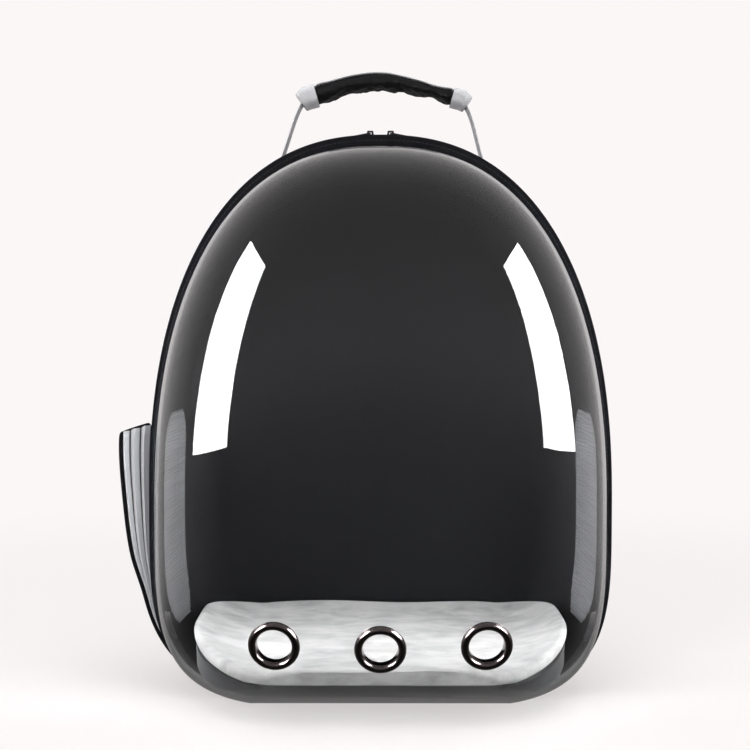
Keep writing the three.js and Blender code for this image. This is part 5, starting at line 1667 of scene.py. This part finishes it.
def make_shoulder(name, side):
    path, widths, thicks = shoulder_path(side)
    strap = tube(f"shoulder_pad_{name}", path, (1, 0, 0), widths * 0.97, thicks * 0.86, 3.2, 40)
    puff(strap, 0.0038, 4.0, 0.0016)
    points = np.array([v.co[:] for v in strap.data.vertices])
    middle = np.interp(-points[:, 2], -path[:, 2], path[:, 0])
    half = np.interp(-points[:, 2], -path[:, 2], widths) / 2
    edge = np.abs(points[:, 0] - middle) / half
    deep = 0.0016 * np.exp(-(((edge - 0.78) / 0.06) ** 2))
    centre = np.interp(-points[:, 2], -path[:, 2], path[:, 1])
    points[:, 1] -= np.sign(points[:, 1] - centre) * deep
    strap.data.vertices.foreach_set("co", points.reshape(-1))
    give(strap, AIR_CLOTH, "padding", f"shoulder_strap_{name}")
    for edge_name, way in (("inner", -side), ("outer", side)):
        line = path[2:-1] + np.stack([way * widths[2:-1] / 2, 0 * widths[2:-1], 0 * widths[2:-1]], 1)
        cord = tube(f"shoulder_edge_{name}_{edge_name}", line, (0, 1, 0), 0.0062, 0.0034, 2.6, 14)
        give(cord, BINDING, "trim")
        row = line + (-way * 0.0044, thicks[2:-1].mean() / 2 + 0.0003, 0)
        stitch_row(f"shoulder_stitches_{name}_{edge_name}", row, (0, 1, 0))
    return strap


shoulders = [make_shoulder(name, side) for name, side in SIDES]
print("shoulder straps:", [round(v, 3) for v in shoulders[0].dimensions])

# %% [markdown]
# The end of a strap is sewn down with a boxed cross, a square with its two diagonals. One path gives it in
# a single run of stitches. It has many points between its corners, so that it can also be laid on a curved
# surface.

# %% The boxed cross
BOXED_CROSS = [(-1, -1), (1, -1), (1, 1), (-1, 1), (-1, -1), (1, 1), (-1, 1), (1, -1)]


def boxed_cross(half_wide, half_high, steps=16):
    """The box and its diagonals, as flat points."""
    corners = np.array(BOXED_CROSS, dtype=float) * (half_wide, half_high)
    legs = [corners[k] + np.linspace(0, 1, steps, endpoint=False)[:, None] * (corners[k + 1] - corners[k])
            for k in range(len(corners) - 1)]
    return np.concatenate(legs + [corners[-1:]])


print("boxed cross points:", len(boxed_cross(1, 1)))

# %% [markdown]
# Webbing is flat and keeps its width, so it's a thin squarish tube along a path: off its patch, up to the
# buckle, round the buckle's lower bar and down again as a free tail.

# %% Webbing, yoke and patches
FOOT_X = 0.084
FOOT_Z_MIDDLE = 0.060
FOOT_HIGH = 0.030
BUCKLE_HIGH = 0.026
BUCKLE_BAR = 0.004
BUCKLE_THICK = 0.0046
WEB_WIDE = 0.024
WEB_THICK = 0.0016
WEB_TAIL = 0.052
PATCH_STITCHES = (0.0145, 0.0115)  # half the boxed cross, across and up
PATCH_THICK = 0.0049
YOKE_SEAMS = (0.305, 0.327)
YOKE_SEAM_HALF = 0.062
YOKE_SEAM_Y = 0.1077


def web_path(side):
    end, _, _ = shoulder_path(side)
    low = end[-1] - (0, 0, CLEARANCE + BUCKLE_HIGH / 2)
    radius = BUCKLE_THICK / 2 + CLEARANCE + WEB_THICK / 2 + 0.0006
    turn_z = low[2] - BUCKLE_HIGH / 2 + BUCKLE_BAR / 2 + 0.0006
    on_pad = PAD_FACE + CLEARANCE + WEB_THICK / 2
    foot_top = FOOT_Z_MIDDLE + FOOT_HIGH / 2
    foot_x = side * FOOT_X
    def between(across, off, up):
        return (foot_x + across * (low[0] - foot_x), on_pad + off * (low[1] - radius - on_pad),
                foot_top + up * (turn_z - foot_top))
    points = [(foot_x, on_pad, foot_top - FOOT_HIGH + 0.003), (foot_x, on_pad, foot_top - 0.004),
              between(0.3, 0.2, 0.3), between(0.8, 0.8, 0.7)]
    points += [(low[0], low[1] + radius * math.cos(a), turn_z + radius * math.sin(a))
               for a in np.linspace(math.pi, 0, 9)]
    points += [(low[0], low[1] + radius + 0.0006, turn_z - WEB_TAIL / 2),
               (low[0], low[1] + radius - 0.0006, turn_z - WEB_TAIL)]
    return smooth_path(points, 120)


for name, side in SIDES:
    web = tube(f"webbing_{name}", web_path(side), (1, 0, 0), WEB_WIDE, WEB_THICK, 5, 24)
    give(web, WEBBING, "webbing", f"adjuster_web_{name}")
    dressed(f"strap_foot_{name}", f"strap_patch_{name}", WEBBING_PLAIN, "webbing", 0.0009)
    flat = boxed_cross(*PATCH_STITCHES)
    y = np.full(len(flat), PAD_FACE + CLEARANCE + PATCH_THICK)
    route = np.stack([side * FOOT_X + flat[:, 0], y, FOOT_Z_MIDDLE + flat[:, 1]], 1)
    stitch_row(f"patch_stitches_{name}", route, (0, 1, 0))

dressed("strap_yoke", "strap_yoke_webbing", WEBBING_PLAIN, "webbing", 0.0014)
for number, height in enumerate(YOKE_SEAMS):
    across = np.linspace(-YOKE_SEAM_HALF, YOKE_SEAM_HALF, 40)
    seam = np.stack([across, np.full_like(across, YOKE_SEAM_Y), np.full_like(across, height)], 1)
    stitch_row(f"yoke_stitches_{number + 1}", seam, (0, 1, 0))
print("webbing length:", round(1000 * sum(np.linalg.norm(np.diff(web_path(1), axis=0), axis=1))), "mm a side")

# %% [markdown]
# ## Seams on the handle and pocket
# The handle's flat ends are sewn to the shell with a boxed cross, and a seam follows the pocket's edge.

# %% Handle and pocket stitches
HANDLE_STITCHES = (0.0075, 0.0095)  # half the boxed cross, across the bag and along its depth
STITCH_LIFT = 0.0020  # above the shell, on the strap's face

inner, outer = FOOT_SPREAD + 0.004, FOOT_SPREAD + 0.022
slope = (float(shell_z(HANDLE_Y, outer)) - float(shell_z(HANDLE_Y, inner))) / (outer - inner)
for name, side in SIDES:
    flat = boxed_cross(*HANDLE_STITCHES)
    across = FOOT_SPREAD + 0.0128 + flat[:, 0]
    up = shell_z(HANDLE_Y, across, STITCH_LIFT)
    spots = np.stack([side * across, HANDLE_Y + flat[:, 1], up], 1)
    stitch_row(f"handle_stitches_{name}", spots, (-slope * side, 0, 1), SILVER_THREAD, slot="silver")
heights = np.linspace(0.04, 0.97, 40)
for name, share in (("front", 0.06), ("back", 0.94)):
    seam = slab_points(np.full(40, share), heights, -0.0004, 0.003, EDGING * 0.6)
    stitch_row(f"pocket_stitches_{name}", seam, (-1, 0, 0.2))
